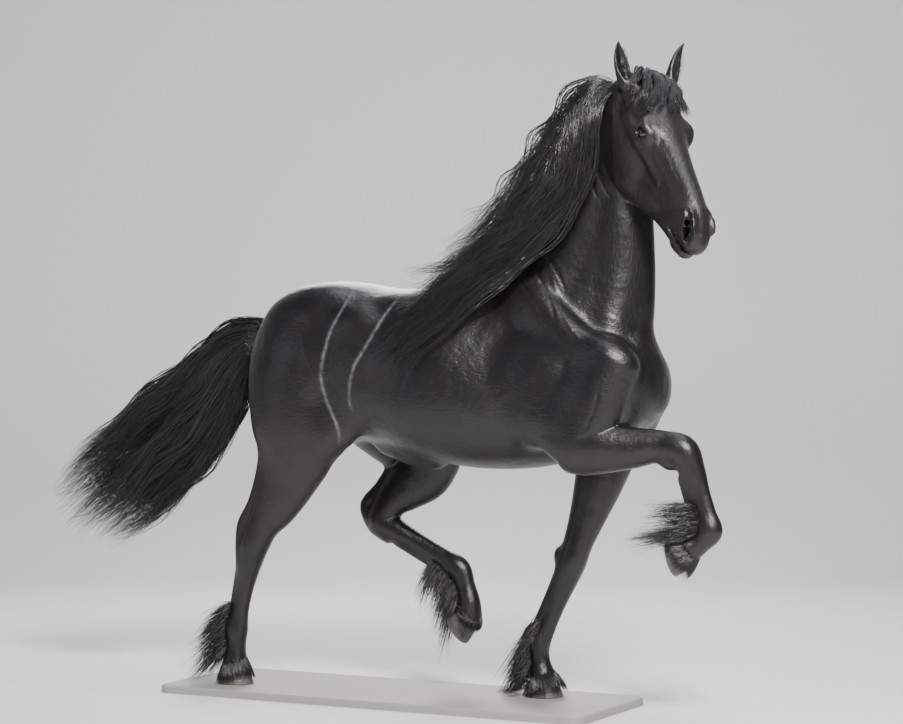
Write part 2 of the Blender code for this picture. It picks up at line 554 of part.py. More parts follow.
def make(name, points, faces):
    mesh = bpy.data.meshes.new(name)
    mesh.from_pydata([tuple(float(c) for c in p) for p in points], [],
                     [tuple(int(i) for i in f) for f in faces])
    mesh.validate()
    mesh.update()
    obj = bpy.data.objects.new(name, mesh)
    bpy.context.scene.collection.objects.link(obj)
    outward(obj)
    return obj

def outward(obj):
    """Turns every face of a closed shell outward."""
    work = bmesh.new()
    work.from_mesh(obj.data)
    bmesh.ops.recalc_face_normals(work, faces=work.faces)
    if work.calc_volume(signed=True) < 0:
        bmesh.ops.reverse_faces(work, faces=work.faces)
    work.to_mesh(obj.data)
    work.free()

def apply_modifiers(obj):
    done = bpy.data.meshes.new_from_object(obj.evaluated_get(bpy.context.evaluated_depsgraph_get()))
    old = obj.data
    obj.modifiers.clear()
    obj.data = done
    bpy.data.meshes.remove(old)

def loose_parts(obj):
    """Sets of faces that hang together by their edges."""
    work = bmesh.new()
    work.from_mesh(obj.data)
    seen, parts = set(), []
    for start in work.faces:
        if start.index in seen:
            continue
        part, stack = {start.index}, [start]
        while stack:
            for edge in stack.pop().edges:
                for face in edge.link_faces:
                    if face.index not in part:
                        part.add(face.index)
                        stack.append(face)
        seen |= part
        parts.append(part)
    work.free()
    return parts

def part_mesh(obj, name, part):
    """A new object with only these faces of another."""
    faces = [tuple(obj.data.polygons[f].vertices) for f in sorted(part)]
    used = sorted({v for face in faces for v in face})
    order = {v: k for k, v in enumerate(used)}
    points = [obj.data.vertices[v].co[:] for v in used]
    return make(name, points, [[order[v] for v in face] for face in faces])

def volume(obj):
    work = bmesh.new()
    work.from_mesh(obj.data)
    size = abs(work.calc_volume())
    work.free()
    return size

def keep_largest(obj):
    parts = loose_parts(obj)
    if len(parts) == 1:
        return obj
    shells = [part_mesh(obj, obj.name + "_shell", part) for part in parts]
    shells.sort(key=volume)
    best = shells.pop()
    for other in shells + [obj]:
        bpy.data.objects.remove(other)
    return best

def tidied(obj):
    """Splits faces to triangles and melts slivers; tells whether the shell came out closed and whole."""
    for least in (0.0006, 0.0004, 0.0002, 0.0001, 0.00003):
        work = bmesh.new()
        work.from_mesh(obj.data)
        bmesh.ops.triangulate(work, faces=work.faces, ngon_method="EAR_CLIP")
        bmesh.ops.dissolve_degenerate(work, dist=least, edges=work.edges)
        bmesh.ops.triangulate(work, faces=work.faces)
        bmesh.ops.remove_doubles(work, verts=work.verts, dist=0.000002)
        twins = {}
        for face in work.faces:
            twins.setdefault(frozenset(v.index for v in face.verts), []).append(face)
        doubled = [face for pair in twins.values() if len(pair) > 1 for face in pair]
        bmesh.ops.delete(work, geom=doubled, context="FACES")
        sound = all(len(e.link_faces) == 2 for e in work.edges)
        if sound:
            work.to_mesh(obj.data)
        work.free()
        if sound:
            return True
    return False

def boolean(obj, others, operation):
    """One Boolean of a whole collection, whose pieces then go; tells whether it came out sound."""
    before = obj.data.copy()
    for solver in ("EXACT", "MANIFOLD"):
        obj.data = before.copy()
        group = bpy.data.collections.new("pieces")
        for other in others:
            group.objects.link(other)
        modifier = obj.modifiers.new("fuse", "BOOLEAN")
        modifier.operation = operation
        modifier.operand_type = "COLLECTION"
        modifier.collection = group
        modifier.solver = solver
        apply_modifiers(obj)
        bpy.data.collections.remove(group)
        sound = len(obj.data.polygons) > 0 and tidied(obj)
        if sound:
            break
    for other in others:
        bpy.data.objects.remove(other)
    return sound

def grown(node, hair, tries=12):
    """The node with its hair fused on; locks that leave slivers are drawn again with the next seed."""
    name = node.name
    for seed in range(tries):
        trial = bpy.data.objects.new(name + "_trial", node.data.copy())
        bpy.context.scene.collection.objects.link(trial)
        sound = boolean(trial, hair(seed), "UNION")
        if sound:
            break
        if seed < tries - 1:
            bpy.data.objects.remove(trial)
    bpy.data.objects.remove(node)
    trial = keep_largest(trial)
    trial.name = name
    return trial

def disc(centre, normal, long, wide, side=(0, 1, 0), gap=0.0004):
    """A thin plate with round corners: long across side, wide along it."""
    normal = unit(normal)
    first = unit(np.cross(side, normal))
    second = np.cross(normal, first)
    rings = []
    for h in (-gap / 2, gap / 2):
        ring = []
        for a in np.arange(24) * 2 * math.pi / 24:
            c, s = (math.copysign(abs(f(a)) ** 0.6, f(a)) for f in (math.cos, math.sin))
            ring.append(np.array(centre) + normal * h + first * long * c + second * wide * s)
        rings.append(ring)
    return make("disc", *rings_mesh(rings))

# Where thin discs part the body: middle, direction, half sizes across and along the animal's width
CUTS = [((0.500, 0.000, 1.500), (0.35, 0, 0.94), 0.37, 0.28),
        ((-0.935, 0.000, 1.374), (-1.0, 0, -0.30), 0.075, 0.075),
        ((0.780, -0.187, 0.957), (1.0, 0, 0.05), 0.110, 0.090),
        ((0.487, 0.186, 0.850), (0.12, 0, 0.99), 0.150, 0.100),
        ((-0.672, -0.168, 0.885), (0.20, 0, 0.98), 0.215, 0.105),
        ((-0.290, 0.180, 0.865), (-0.05, 0, 1.0), 0.190, 0.100),
        ((1.002, -0.170, 0.850), (0.30, 0, -0.95), 0.090, 0.080),
        ((0.332, 0.142, 0.410), (0.40, 0, 0.92), 0.090, 0.080),
        ((-0.912, -0.134, 0.405), (0.28, 0, 0.96), 0.090, 0.080),
        ((-0.315, 0.138, 0.577), (0.90, 0, -0.42), 0.090, 0.080)]

# A point in each node cut from the body
NODES = {"torso": (-0.10, 0.0, 1.20), "neck": (0.56, -0.02, 1.80), "head": (0.92, -0.17, 2.02),
         "tail": (-0.965, 0, 1.36),
         "ear_right": (0.716, -0.162, 2.36), "ear_left": (0.862, 0.015, 2.36),
         "fore_right_upper": (0.85, -0.18, 0.96), "fore_right_lower": (1.04, -0.17, 0.73),
         "fore_left_upper": (0.42, 0.16, 0.64), "fore_left_lower": (0.27, 0.125, 0.24),
         "hind_right_upper": (-0.76, -0.155, 0.70), "hind_right_lower": (-0.95, -0.125, 0.24),
         "hind_left_upper": (-0.35, 0.16, 0.76), "hind_left_lower": (-0.14, 0.13, 0.46)}

BODY_TRIANGLES = 6600

def body_nodes(field):
    """The body's skin, made coarser where it is smooth, then parted into nodes."""
    points, faces = surface_net(field)
    skin = make("skin", points, faces)
    thin = skin.modifiers.new("coarser", "DECIMATE")
    thin.ratio = BODY_TRIANGLES / (2 * len(faces))
    thin.use_collapse_triangulate = True
    apply_modifiers(skin)
    discs = [disc(*cut) for cut in CUTS]
    head = head_place()
    discs.append(disc(head([[0.155, 0.0, -0.256]])[0], head.turn([0.292, 0, 0.956]), 0.262, 0.185,
                      side=head.turn([0, 1, 0])))
    for foot, tip, opening in EARS.values():
        along = unit(np.array(tip) - np.array(foot))
        out = unit(np.array(opening) - along * (np.array(opening) @ along))
        discs.append(disc(np.array(foot) + along * 0.045 - out * 0.010, along, 0.044, 0.044))
    for name in HOOVES:
        centre, up = coronet_plane(name)
        discs.append(disc(centre, up, 0.095, 0.090))
    boolean(skin, discs, "DIFFERENCE")
    found = {}
    for part in loose_parts(skin):
        piece = part_mesh(skin, "piece", part)
        middle = middle_of(piece)
        name = min(NODES, key=lambda n: np.linalg.norm(np.array(NODES[n]) - middle))
        size = volume(piece)
        under = any((middle - coronet_plane(h)[0]) @ coronet_plane(h)[1] < 0
                    and np.linalg.norm(middle - coronet_plane(h)[0]) < 0.08 for h in HOOVES)
        if under or size <= found.get(name, (0.0, None))[0]:
            bpy.data.objects.remove(piece)
            continue
        if name in found:
            bpy.data.objects.remove(found[name][1])
        found[name] = (size, piece)
    bpy.data.objects.remove(skin)
    nodes = {}
    for name, (_, piece) in found.items():
        piece.name = name
        nodes[name] = piece
    return nodes

def middle_of(obj):
    points = np.array([v.co[:] for v in obj.data.vertices])
    return points.mean(0)

def hoof_place(name):
    """Axes of a hoof: along the sole to the toe, to the animal's left, and up through the foot."""
    centre, toe = HOOVES[name]
    toe = unit(toe)
    left = np.array([0.0, 1.0, 0.0])
    return Place(centre, np.array([toe, left, np.cross(toe, left)]))

def coronet_plane(name):
    """Middle and upward normal of the line where hair ends and hoof begins."""
    place = hoof_place(name)
    centre = place([[CORONET[0], 0.0, CORONET[1]]])[0]
    return centre, place.turn([-math.sin(CORONET_TILT), 0.0, math.cos(CORONET_TILT)])

def rings_mesh(rings):
    """Vertices and faces of a closed skin over rings of points, with flat ends."""
    count = len(rings[0])
    points = [p for ring in rings for p in ring]
    faces = []
    for r in range(len(rings) - 1):
        for i in range(count):
            j = (i + 1) % count
            faces.append((r * count + i, r * count + j, (r + 1) * count + j, (r + 1) * count + i))
    faces.append(tuple(reversed(range(count))))
    faces.append(tuple((len(rings) - 1) * count + i for i in range(count)))
    return points, faces

def hoof(name, around=20):
    place = hoof_place(name)
    tilt = (math.cos(CORONET_TILT), math.sin(CORONET_TILT))
    lift = CORONET[1] - 0.0005
    rings = []
    for high in (0.0, 0.05, 0.35, 0.7, 1.0):
        swell = 0.97 if high == 0.0 else 1.0
        ring = []
        for k in range(around):
            angle = 2 * math.pi * k / around
            c, s = math.cos(angle), math.sin(angle)
            sole = np.array([(0.082 if c > 0 else 0.062) * c, 0.068 * s, 0.0]) * (swell, swell, 1)
            top = np.array([CORONET[0] + 0.056 * c * tilt[0], 0.053 * s, lift + 0.056 * c * tilt[1]])
            ring.append(sole + (top - sole) * high)
        rings.append(ring)
    points, faces = rings_mesh(rings)
    return make("hoof_" + name, place(np.array(points)), faces)

def eye(side, name):
    """An eyeball, and the slightly larger ball that hollows its socket."""
    place = head_place()
    centre = place([[EYE[0], side * EYE[1], EYE[2]]])[0]
    balls = []
    for label, radius in ((name, EYE_RADIUS * HEAD_SCALE), ("socket", EYE_RADIUS * HEAD_SCALE + 0.0006)):
        rings = []
        for lat in np.linspace(-0.5, 0.5, 9)[1:-1] * math.pi:
            rings.append([centre + radius * np.array([math.cos(lat) * math.cos(a),
                                                      math.cos(lat) * math.sin(a), math.sin(lat)])
                          for a in np.arange(16) * math.pi / 8])
        balls.append(make(label, *rings_mesh(rings)))
    return balls

# Guides for the mane's under layer, rooted along the crest from the poll to the withers and blown back
MANE_UNDER = [
    [(0.585, 0.00, 2.205), (0.53, -0.05, 2.30), (0.44, -0.08, 2.24), (0.36, -0.08, 2.15), (0.29, -0.08, 2.06),
     (0.23, -0.09, 1.96), (0.15, -0.10, 1.88), (0.05, -0.12, 1.83)],
    [(0.52, -0.01, 2.13), (0.47, -0.10, 2.14), (0.40, -0.11, 2.07), (0.33, -0.12, 1.98), (0.27, -0.13, 1.88),
     (0.16, -0.14, 1.79), (0.05, -0.15, 1.73), (-0.03, -0.16, 1.68)],
    [(0.46, -0.02, 2.04), (0.42, -0.12, 2.00), (0.36, -0.13, 1.90), (0.28, -0.15, 1.79), (0.17, -0.17, 1.70),
     (0.03, -0.19, 1.64), (-0.10, -0.20, 1.62), (-0.19, -0.20, 1.63)],
    [(0.41, -0.03, 1.94), (0.38, -0.13, 1.88), (0.30, -0.15, 1.77), (0.21, -0.19, 1.66), (0.10, -0.23, 1.57),
     (-0.03, -0.26, 1.48), (-0.15, -0.28, 1.39), (-0.22, -0.30, 1.30)],
    [(0.35, -0.03, 1.80), (0.28, -0.12, 1.74), (0.20, -0.18, 1.63), (0.11, -0.23, 1.52), (0.02, -0.27, 1.41),
     (-0.08, -0.30, 1.30), (-0.16, -0.33, 1.18)],
]
# Guides for its outer layer, from the poll down beside the throat and then back over the shoulder
MANE_OVER = [
    [(0.500, 0.035, 2.06), (0.50, -0.11, 2.13), (0.48, -0.15, 2.00), (0.41, -0.16, 1.88), (0.31, -0.17, 1.77),
     (0.19, -0.19, 1.68), (0.06, -0.22, 1.60), (-0.06, -0.24, 1.54), (-0.16, -0.26, 1.47)],
    [(0.550, 0.040, 2.12), (0.55, -0.14, 2.13), (0.54, -0.17, 1.97), (0.47, -0.18, 1.84), (0.36, -0.20, 1.72),
     (0.23, -0.23, 1.62), (0.10, -0.26, 1.52), (-0.01, -0.29, 1.42), (-0.10, -0.31, 1.31)],
    [(0.595, 0.030, 2.18), (0.59, -0.16, 2.10), (0.58, -0.19, 1.93), (0.52, -0.20, 1.78), (0.41, -0.22, 1.66),
     (0.27, -0.25, 1.55), (0.13, -0.28, 1.44), (0.00, -0.31, 1.31), (-0.10, -0.34, 1.18)],
]
# Guides for the tail, from the top of the dock to its underside
TAIL = [
    [(-0.990, 0.0, 1.37), (-1.04, 0.0, 1.42), (-1.12, 0.0, 1.39), (-1.22, 0.0, 1.32), (-1.47, 0.0, 1.16),
     (-1.62, 0.0, 1.06), (-1.84, 0.0, 0.89), (-1.97, 0.0, 0.77)],
    [(-1.000, 0.0, 1.36), (-1.06, 0.0, 1.35), (-1.15, 0.0, 1.27), (-1.30, 0.0, 1.14), (-1.47, 0.0, 1.00),
     (-1.65, 0.0, 0.85), (-1.83, 0.0, 0.72), (-1.96, 0.0, 0.66)],
    [(-0.995, 0.0, 1.34), (-1.04, 0.0, 1.25), (-1.12, 0.0, 1.13), (-1.25, 0.0, 1.00), (-1.40, 0.0, 0.87),
     (-1.57, 0.0, 0.74), (-1.73, 0.0, 0.63), (-1.86, 0.0, 0.56)],
    [(-0.985, 0.0, 1.33), (-1.01, 0.0, 1.18), (-1.05, 0.0, 1.04), (-1.13, 0.0, 0.92), (-1.26, 0.0, 0.79),
     (-1.40, 0.0, 0.67), (-1.55, 0.0, 0.56), (-1.70, 0.0, 0.49)],
]
# Guides for the forelock
FORELOCK = [
    [(0.76, -0.11, 2.28), (0.80, -0.15, 2.27), (0.81, -0.19, 2.22), (0.79, -0.22, 2.18)],
    [(0.77, -0.10, 2.28), (0.83, -0.14, 2.26), (0.86, -0.17, 2.20), (0.86, -0.19, 2.14)],
    [(0.79, -0.08, 2.28), (0.86, -0.09, 2.26), (0.90, -0.11, 2.20), (0.92, -0.13, 2.14)],
    [(0.80, -0.06, 2.28), (0.87, -0.04, 2.25), (0.90, -0.04, 2.20), (0.93, -0.05, 2.17)],
]

def along(guide, t):
    """The point at t, from 0 to 1, along a guide."""
    guide = np.asarray(guide, float)
    keys = np.concatenate([[0], np.cumsum(np.linalg.norm(np.diff(guide, axis=0), axis=1))])
    return hermite(keys / keys[-1], guide, np.atleast_1d(t))[0]

def between(guides, a, t):
    """The point at t along the guide that lies at a between the first and the last."""
    a = min(max(a, 0.0), 1.0) * (len(guides) - 1)
    k = min(int(a), len(guides) - 2)
    return along(guides[k], t) * (1 - (a - k)) + along(guides[k + 1], t) * (a - k)

def lock(path, wide, thick, clear, face):
    """A flat tapered lock along a path, flat against the body where it is near, and else toward face."""
    count = len(path)
    rings = []
    for i, p in enumerate(path[:-1]):
        way = unit(path[i + 1] - path[max(i - 1, 0)])
        near = max(0.0, 1 - clear.at(p) / 0.10) * 3
        flat = unit(np.array(face)) + near * clear.slope(p, 0.015)
        side = np.cross(way, flat)
        side = unit(side) if np.linalg.norm(side) > 0.05 else unit(np.cross(way, (0.3, 1.0, 0.2)))
        out = np.cross(side, way)
        if rings and side @ last_side < 0:
            side, out = -side, -out
        last_side = side
        t = i / (count - 1)
        size = (0.35 + 1.85 * t if t < 0.35 else 1.0) * (1 - max(0.0, (t - 0.5) / 0.5) ** 1.5 * 0.8)
        w, h = wide * size / 2, thick * size / 2
        rings.append([p + side * w, p + out * h, p - side * w, p - out * h])
    points = [p for ring in rings for p in ring] + [path[-1]]
    faces = [(0, 1, 2, 3)]
    for r in range(len(rings) - 1):
        for i in range(4):
            a, b = r * 4 + i, r * 4 + (i + 1) % 4
            faces += [(a, b, b + 4), (a, b + 4, a + 4)]
    last = (len(rings) - 1) * 4
    faces += [(last + i, last + (i + 1) % 4, last + 4) for i in range(4)]
    return make("lock", points, faces)

def kept_clear(path, clear, gap, first, floor):
    """The path with every point and every middle between two, from the first, clear of the body and floor."""
    for _ in range(3):
        for i in range(first, len(path)):
            path[i] = clear.push(path[i], gap)
            path[i][2] = max(path[i][2], floor)
            if i > first:
                middle = (path[i] + path[i - 1]) / 2
                shift = clear.push(middle, gap) - middle
                path[i], path[i - 1] = path[i] + shift, path[i - 1] + shift
    return path

def rooted(root, clear, depth, gap):
    """Two points: one sunk under the skin near root, and one straight above it."""
    skin = clear.push(root, 0.0)
    way = clear.slope(skin)
    return [skin - way * depth, skin + way * gap]

def crossing(one, other, clear):
    """Whether two locks cross outside the body."""
    trees = []
    for obj in (one, other):
        trees.append(BVHTree.FromPolygons([v.co for v in obj.data.vertices],
                                          [f.vertices[:] for f in obj.data.polygons]))
    pairs = trees[0].overlap(trees[1])
    return any(clear.at(np.array(one.data.polygons[i].center)) > -0.004 for i, _ in pairs)

def laid(count, one, clear):
    """Locks drawn one by one, each redrawn farther out until it crosses none of those before it."""
    locks = []
    for k in range(count):
        for attempt in range(9):
            new = one(k, attempt)
            if not any(crossing(new, old, clear) for old in locks):
                locks.append(new)
                break
            bpy.data.objects.remove(new)
    return locks

def flowing(guides, a, start, reach, steps, clear, spread, wave, chance, gap, lift=0.0, floor=0.02):
    """A wavy path beside the guides, from under the skin to the tip, clear of the body on its way."""
    phase, turns = chance.uniform(0, 6.28), chance.uniform(1.0, 1.8)
    path = rooted(between(guides, a, start) + np.array(spread) * 0.15, clear, 0.03, gap + lift)
    for i in range(1, steps):
        t = start + (reach - start) * i / (steps - 1)
        sway = wave * math.sin(phase + turns * 6.28 * t) * min(1.0, t * 2.5)
        p = between(guides, a, t) + np.array(spread) * min(1.0, t * 3) + np.array([0.3, 0.6, 0.7]) * sway
        path.append(p + clear.slope(p, 0.02) * lift)
    return kept_clear(path, clear, gap + lift * 0.5, 2, floor)

def mane(clear, count, steps, seed):
    chance = random.Random(11 + seed)

    def one(k, attempt):
        over = k >= count * 0.6
        guides, first, share = (MANE_OVER, 0.6, 0.4) if over else (MANE_UNDER, 0.0, 0.6)
        a = (k - count * first + chance.uniform(0.35, 0.65)) / (count * share)
        wide, thick = chance.uniform(0.060, 0.080), chance.uniform(0.017, 0.022)
        lift = (0.030 if over else 0.0) + 0.009 * attempt
        path = flowing(guides, a, 0.0, chance.uniform(0.88, 1.0), steps, clear, (0, 0, 0), 0.008, chance,
                       thick / 2 + 0.008, lift)
        return lock(path, wide, thick, clear, (0.1, -1.0, 0.25))
    return laid(count, one, clear)

def tail_hair(clear, count, steps, seed):
    chance = random.Random(23 + seed)

    def one(k, attempt):
        layer = (k % 3) - 1.0 + chance.uniform(-0.15, 0.15) * attempt
        a = (k // 3 + 0.5 + 0.5 * (k % 2) + chance.uniform(-0.2, 0.2)) / (count / 3 + 0.5)
        wide, thick = chance.uniform(0.070, 0.095), chance.uniform(0.020, 0.028)
        start = 0.03 + 0.10 * (k % 3) + chance.uniform(0.0, 0.05)
        spread = (0.0, 0.075 * layer + 0.010 * attempt * (-1) ** attempt, 0.0)
        path = flowing(TAIL, a, start, chance.uniform(0.90, 1.0), steps, clear, spread, 0.012, chance,
                       thick / 2 + 0.008)
        return lock(path, wide, thick, clear, (0.1, 1.0, 0.1))
    return laid(count, one, clear)

def forelock(clear, count, steps, seed):
    chance = random.Random(5 + seed)

    def one(k, attempt):
        a = (k + chance.uniform(0.2, 0.8)) / count
        wide, thick = chance.uniform(0.028, 0.036), chance.uniform(0.010, 0.013)
        gap = thick / 2 + 0.003 + 0.005 * attempt
        path = flowing(FORELOCK, a, 0.0, chance.uniform(0.85, 1.0), steps, clear, (0, 0, 0), 0.004, chance,
                       gap)
        return lock(path, wide, thick, clear, (0.8, -0.4, 0.4))
    return laid(count, one, clear)

# Feathers: roots down the back of each lower leg, the way they stand out, and the way the hair falls or blows
FEATHERS = {
    "hind_right": ([(-0.945, -0.127, 0.33), (-0.965, -0.123, 0.25), (-0.975, -0.120, 0.19),
                    (-0.970, -0.119, 0.14)],
                   (-1.0, 0.0, -0.15), (-0.35, 0, -1.0)),
    "fore_left": ([(0.290, 0.130, 0.31), (0.262, 0.124, 0.24), (0.250, 0.121, 0.19), (0.252, 0.120, 0.14)],
                  (-0.75, 0.0, -0.65), (-0.2, 0, -1.0)),
    "hind_left": ([(-0.190, 0.133, 0.515), (-0.120, 0.130, 0.470), (-0.085, 0.128, 0.430),
                   (-0.070, 0.126, 0.375)],
                  (-0.75, 0.0, -0.65), (0.1, 0, -1.0)),
    "fore_right": ([(1.040, -0.170, 0.755), (1.058, -0.170, 0.700), (1.045, -0.169, 0.655),
                    (1.020, -0.168, 0.635)],
                   (-1.0, 0.0, 0.25), (-0.9, 0, -0.4)),
}

def feather(name, clear, count, steps, seed):
    roots, back, fall = FEATHERS[name]
    back, fall = unit(back), unit(fall)
    chance = random.Random(sum(ord(c) for c in name) + seed)

    def one(k, attempt):
        a = (k + 0.5) / count
        around = ((k * 0.618) % 1.0) * 2 - 1
        way = unit(back + np.array([0, 0.9 * around, 0]) + fall * 0.3 * a)
        length = chance.uniform(0.13, 0.17) * (1.0 if abs(around) < 0.6 else 0.85)
        wide, thick = chance.uniform(0.036, 0.048), chance.uniform(0.012, 0.016)
        path = rooted(along(roots, a) + way * 0.03, clear, 0.018, 0.008)
        start = path[1]
        for i in range(1, steps):
            t = i / (steps - 1)
            path.append(start + way * length * t + fall * length * 0.55 * t * t)
        path = kept_clear(path, clear, thick / 2 + 0.006 + 0.006 * attempt, 2, 0.024)
        return lock(path, wide, thick, clear, np.cross(way, (0, 0, 1)) + np.array([0, 0.3, 0]))
    return laid(count, one, clear)

def base():
    """A low plate with rounded corners that both standing hooves rest on."""
    low, high, half, corner = -1.22, 0.62, 0.31, 0.06
    rings = []
    for z, inset in ((-BASE_HEIGHT, 0.0), (-0.006, 0.0), (-0.0004, 0.006)):
        ring = []
        for cx, cy, begin in ((high, half, 0), (low, half, 1), (low, -half, 2), (high, -half, 3)):
            for step in range(5):
                angle = (begin + step / 4) * math.pi / 2
                x = cx - math.copysign(corner, cx - (low + high) / 2) + (corner - inset) * math.cos(angle)
                y = cy - math.copysign(corner, cy) + (corner - inset) * math.sin(angle)
                ring.append(np.array([x, y, z]))
        rings.append(ring)
    return make("stand_base", *rings_mesh(rings))

BASE_HEIGHT = 0.030
COLOURS = {"eye": (0.012, 0.008, 0.006), "hoof": (0.035, 0.030, 0.028), "stand": (0.32, 0.31, 0.30)}
COAT = (0.014, 0.013, 0.015)
MANE_LOCKS, TAIL_LOCKS, FORELOCKS, FEATHER_LOCKS = 18, 16, 5, 7
LOCK_STEPS = 6

def material(obj):
    kind = obj.name.split("_")[0]
    made = bpy.data.materials.new(obj.name + "_material")
    made.use_nodes = True
    shader = made.node_tree.nodes["Principled BSDF"]
    shader.inputs["Base Color"].default_value = (*COLOURS.get(kind, COAT), 1.0)
    shader.inputs["Roughness"].default_value = 0.15 if kind == "eye" else 0.45
    obj.data.materials.clear()
    obj.data.materials.append(made)

def clearance_field(field):
    """The body's field with the hooves added, for keeping hair clear."""
    for name in HOOVES:
        place = hoof_place(name)
        chain(field, [(0.012, 0, 0.000, 0.070, 0.074), (0.004, 0, 0.035, 0.062, 0.066),
                      (-0.003, 0, 0.070, 0.056, 0.058)], 0.01, place=place)
    return Clearance(field)

def build():
    for obj in list(bpy.data.objects):
        bpy.data.objects.remove(obj)
    field = Field(spaced(-1.50, 0.66, 1.17, 1.25, 0.006, 0.013),
                  spaced(-0.42, -0.40, 0.10, 0.40, 0.006, 0.013),
                  spaced(-0.03, 1.58, 2.46, 2.5, 0.006, 0.013))
    body(field)
    nodes = body_nodes(field)
    clear = clearance_field(field)
    for side, label in ((LEFT, "left"), (RIGHT, "right")):
        ball_, socket = eye(side, "eye_" + label)
        nodes[ball_.name] = ball_
        boolean(nodes["head"], [socket], "DIFFERENCE")
    for name in HOOVES:
        nodes["hoof_" + name] = hoof(name)
    nodes["stand_base"] = base()
    growth = [("neck", lambda seed: mane(clear, MANE_LOCKS, LOCK_STEPS + 2, seed)),
              ("tail", lambda seed: tail_hair(clear, TAIL_LOCKS, LOCK_STEPS + 1, seed)),
              ("head", lambda seed: forelock(clear, FORELOCKS, LOCK_STEPS - 1, seed))]
    growth += [(leg + "_lower", lambda seed, leg=leg: feather(leg, clear, FEATHER_LOCKS, LOCK_STEPS - 1,
                                                              seed)) for leg in FEATHERS]
    for name, hair in growth:
        nodes[name] = grown(nodes[name], hair)
    settle_origin(nodes)
    for name, obj in nodes.items():
        obj.data.name = name
        material(obj)

def settle_origin(nodes):
    """Moves all so that the origin lies under the middle of the bounding box, at the base's underside."""
    points = np.array([v.co[:] for obj in nodes.values() for v in obj.data.vertices])
    low, high = points.min(0), points.max(0)
    shift = Matrix.Translation((-(low[0] + high[0]) / 2, -(low[1] + high[1]) / 2, -low[2]))
    for obj in nodes.values():
        obj.data.transform(shift)

build()
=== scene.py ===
"""A friesian stallion at the trot, life size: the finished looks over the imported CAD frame.

The skin is the CAD's own body shape sampled finer, a coat's depth inside it, as one piece with no seam.
Mane, forelock, tail, feathers and short tufts are solid strands, laid in locks over that skin.
Metres in the modelling axes: x to the nose, y to the animal's left, z up; MOVE carries them to the frame.
"""
import math

import bpy
import numpy as np
from mathutils import Matrix, Vector
from mathutils.bvhtree import BVHTree


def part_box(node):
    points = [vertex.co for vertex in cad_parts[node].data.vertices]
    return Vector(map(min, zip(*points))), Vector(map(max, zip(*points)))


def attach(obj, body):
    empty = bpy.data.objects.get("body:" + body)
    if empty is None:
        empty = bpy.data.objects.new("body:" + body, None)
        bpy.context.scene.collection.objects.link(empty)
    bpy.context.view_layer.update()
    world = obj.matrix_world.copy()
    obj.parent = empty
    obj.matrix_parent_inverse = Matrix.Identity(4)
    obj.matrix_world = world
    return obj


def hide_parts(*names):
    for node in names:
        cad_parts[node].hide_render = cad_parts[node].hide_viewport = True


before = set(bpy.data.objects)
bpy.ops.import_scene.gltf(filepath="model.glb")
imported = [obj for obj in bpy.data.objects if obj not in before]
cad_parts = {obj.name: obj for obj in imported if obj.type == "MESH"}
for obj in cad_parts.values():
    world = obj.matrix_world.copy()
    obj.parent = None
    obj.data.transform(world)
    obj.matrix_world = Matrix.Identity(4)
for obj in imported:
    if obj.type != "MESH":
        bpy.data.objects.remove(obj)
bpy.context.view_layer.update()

FAR = 1.0

def unit(v):
    v = np.asarray(v, float)
    return v / np.linalg.norm(v)

def length_of(vectors):
    return np.linalg.norm(vectors, axis=-1, keepdims=True)

def units(vectors):
    """Each of the vectors at length 1."""
    return vectors / np.maximum(length_of(vectors), 1e-9)

class Field:
    """Distance to the animal's surface, below zero inside, sampled on a box of grid lines."""
    def __init__(self, xs, ys, zs):
        self.lines = [np.asarray(a, np.float32) for a in (xs, ys, zs)]
        self.values = np.full([len(a) for a in self.lines], FAR, np.float32)

    def window(self, low, high, inside=None):
        """The part of the grid between two corners, and its coordinates."""
        spans = []
        for i, (line, a, b) in enumerate(zip(self.lines, low, high)):
            least, most = (inside[i].start, inside[i].stop) if inside else (0, len(line))
            first = min(most, max(least, int(np.searchsorted(line, a)) - 1))
            last = min(most, int(np.searchsorted(line, b)) + 1)
            spans.append(slice(first, max(first, last)))
        x, y, z = (line[s] for line, s in zip(self.lines, spans))
        return tuple(spans), (x[:, None, None], y[None, :, None], z[None, None, :])

    def apply(self, spans, shape, soft, carve=0.0):
        """Adds a shape with a soft joint, or cuts it away as deep as carve."""
        old = self.values[spans]
        if not carve:
            near = np.maximum(soft - np.abs(old - shape), 0.0)
            self.values[spans] = np.minimum(old, shape) - near * near / (4 * soft)
            return
        cut = np.maximum(shape, -(old + carve))
        near = np.maximum(soft - np.abs(old + cut), 0.0)
        self.values[spans] = np.maximum(old, -cut) + near * near / (4 * soft)

def ellipse_distance(offsets, radii):
    """About how far a point is outside an ellipsoid of these radii."""
    a = sum((o / r) ** 2 for o, r in zip(offsets, radii))
    b = sum((o / (r * r)) ** 2 for o, r in zip(offsets, radii))
    k = np.sqrt(a)
    return k * (k - 1) / np.maximum(np.sqrt(b), 1e-6)

def hermite(keys, values, at):
    """A smooth curve through values at keys."""
    keys, values = np.asarray(keys, float), np.asarray(values, float)
    slope = np.gradient(values, keys, axis=0)
    i = np.clip(np.searchsorted(keys, at) - 1, 0, len(keys) - 2)
    h = keys[i + 1] - keys[i]
    t = np.clip((at - keys[i]) / h, 0, 1)
    if values.ndim > 1:
        h, t = h[..., None], t[..., None]
    return ((1 + 2 * t) * (1 - t) ** 2 * values[i] + t * (1 - t) ** 2 * h * slope[i] + t * t * (3 - 2 * t)
        * values[i + 1] + t * t * (t - 1) * h * slope[i + 1])

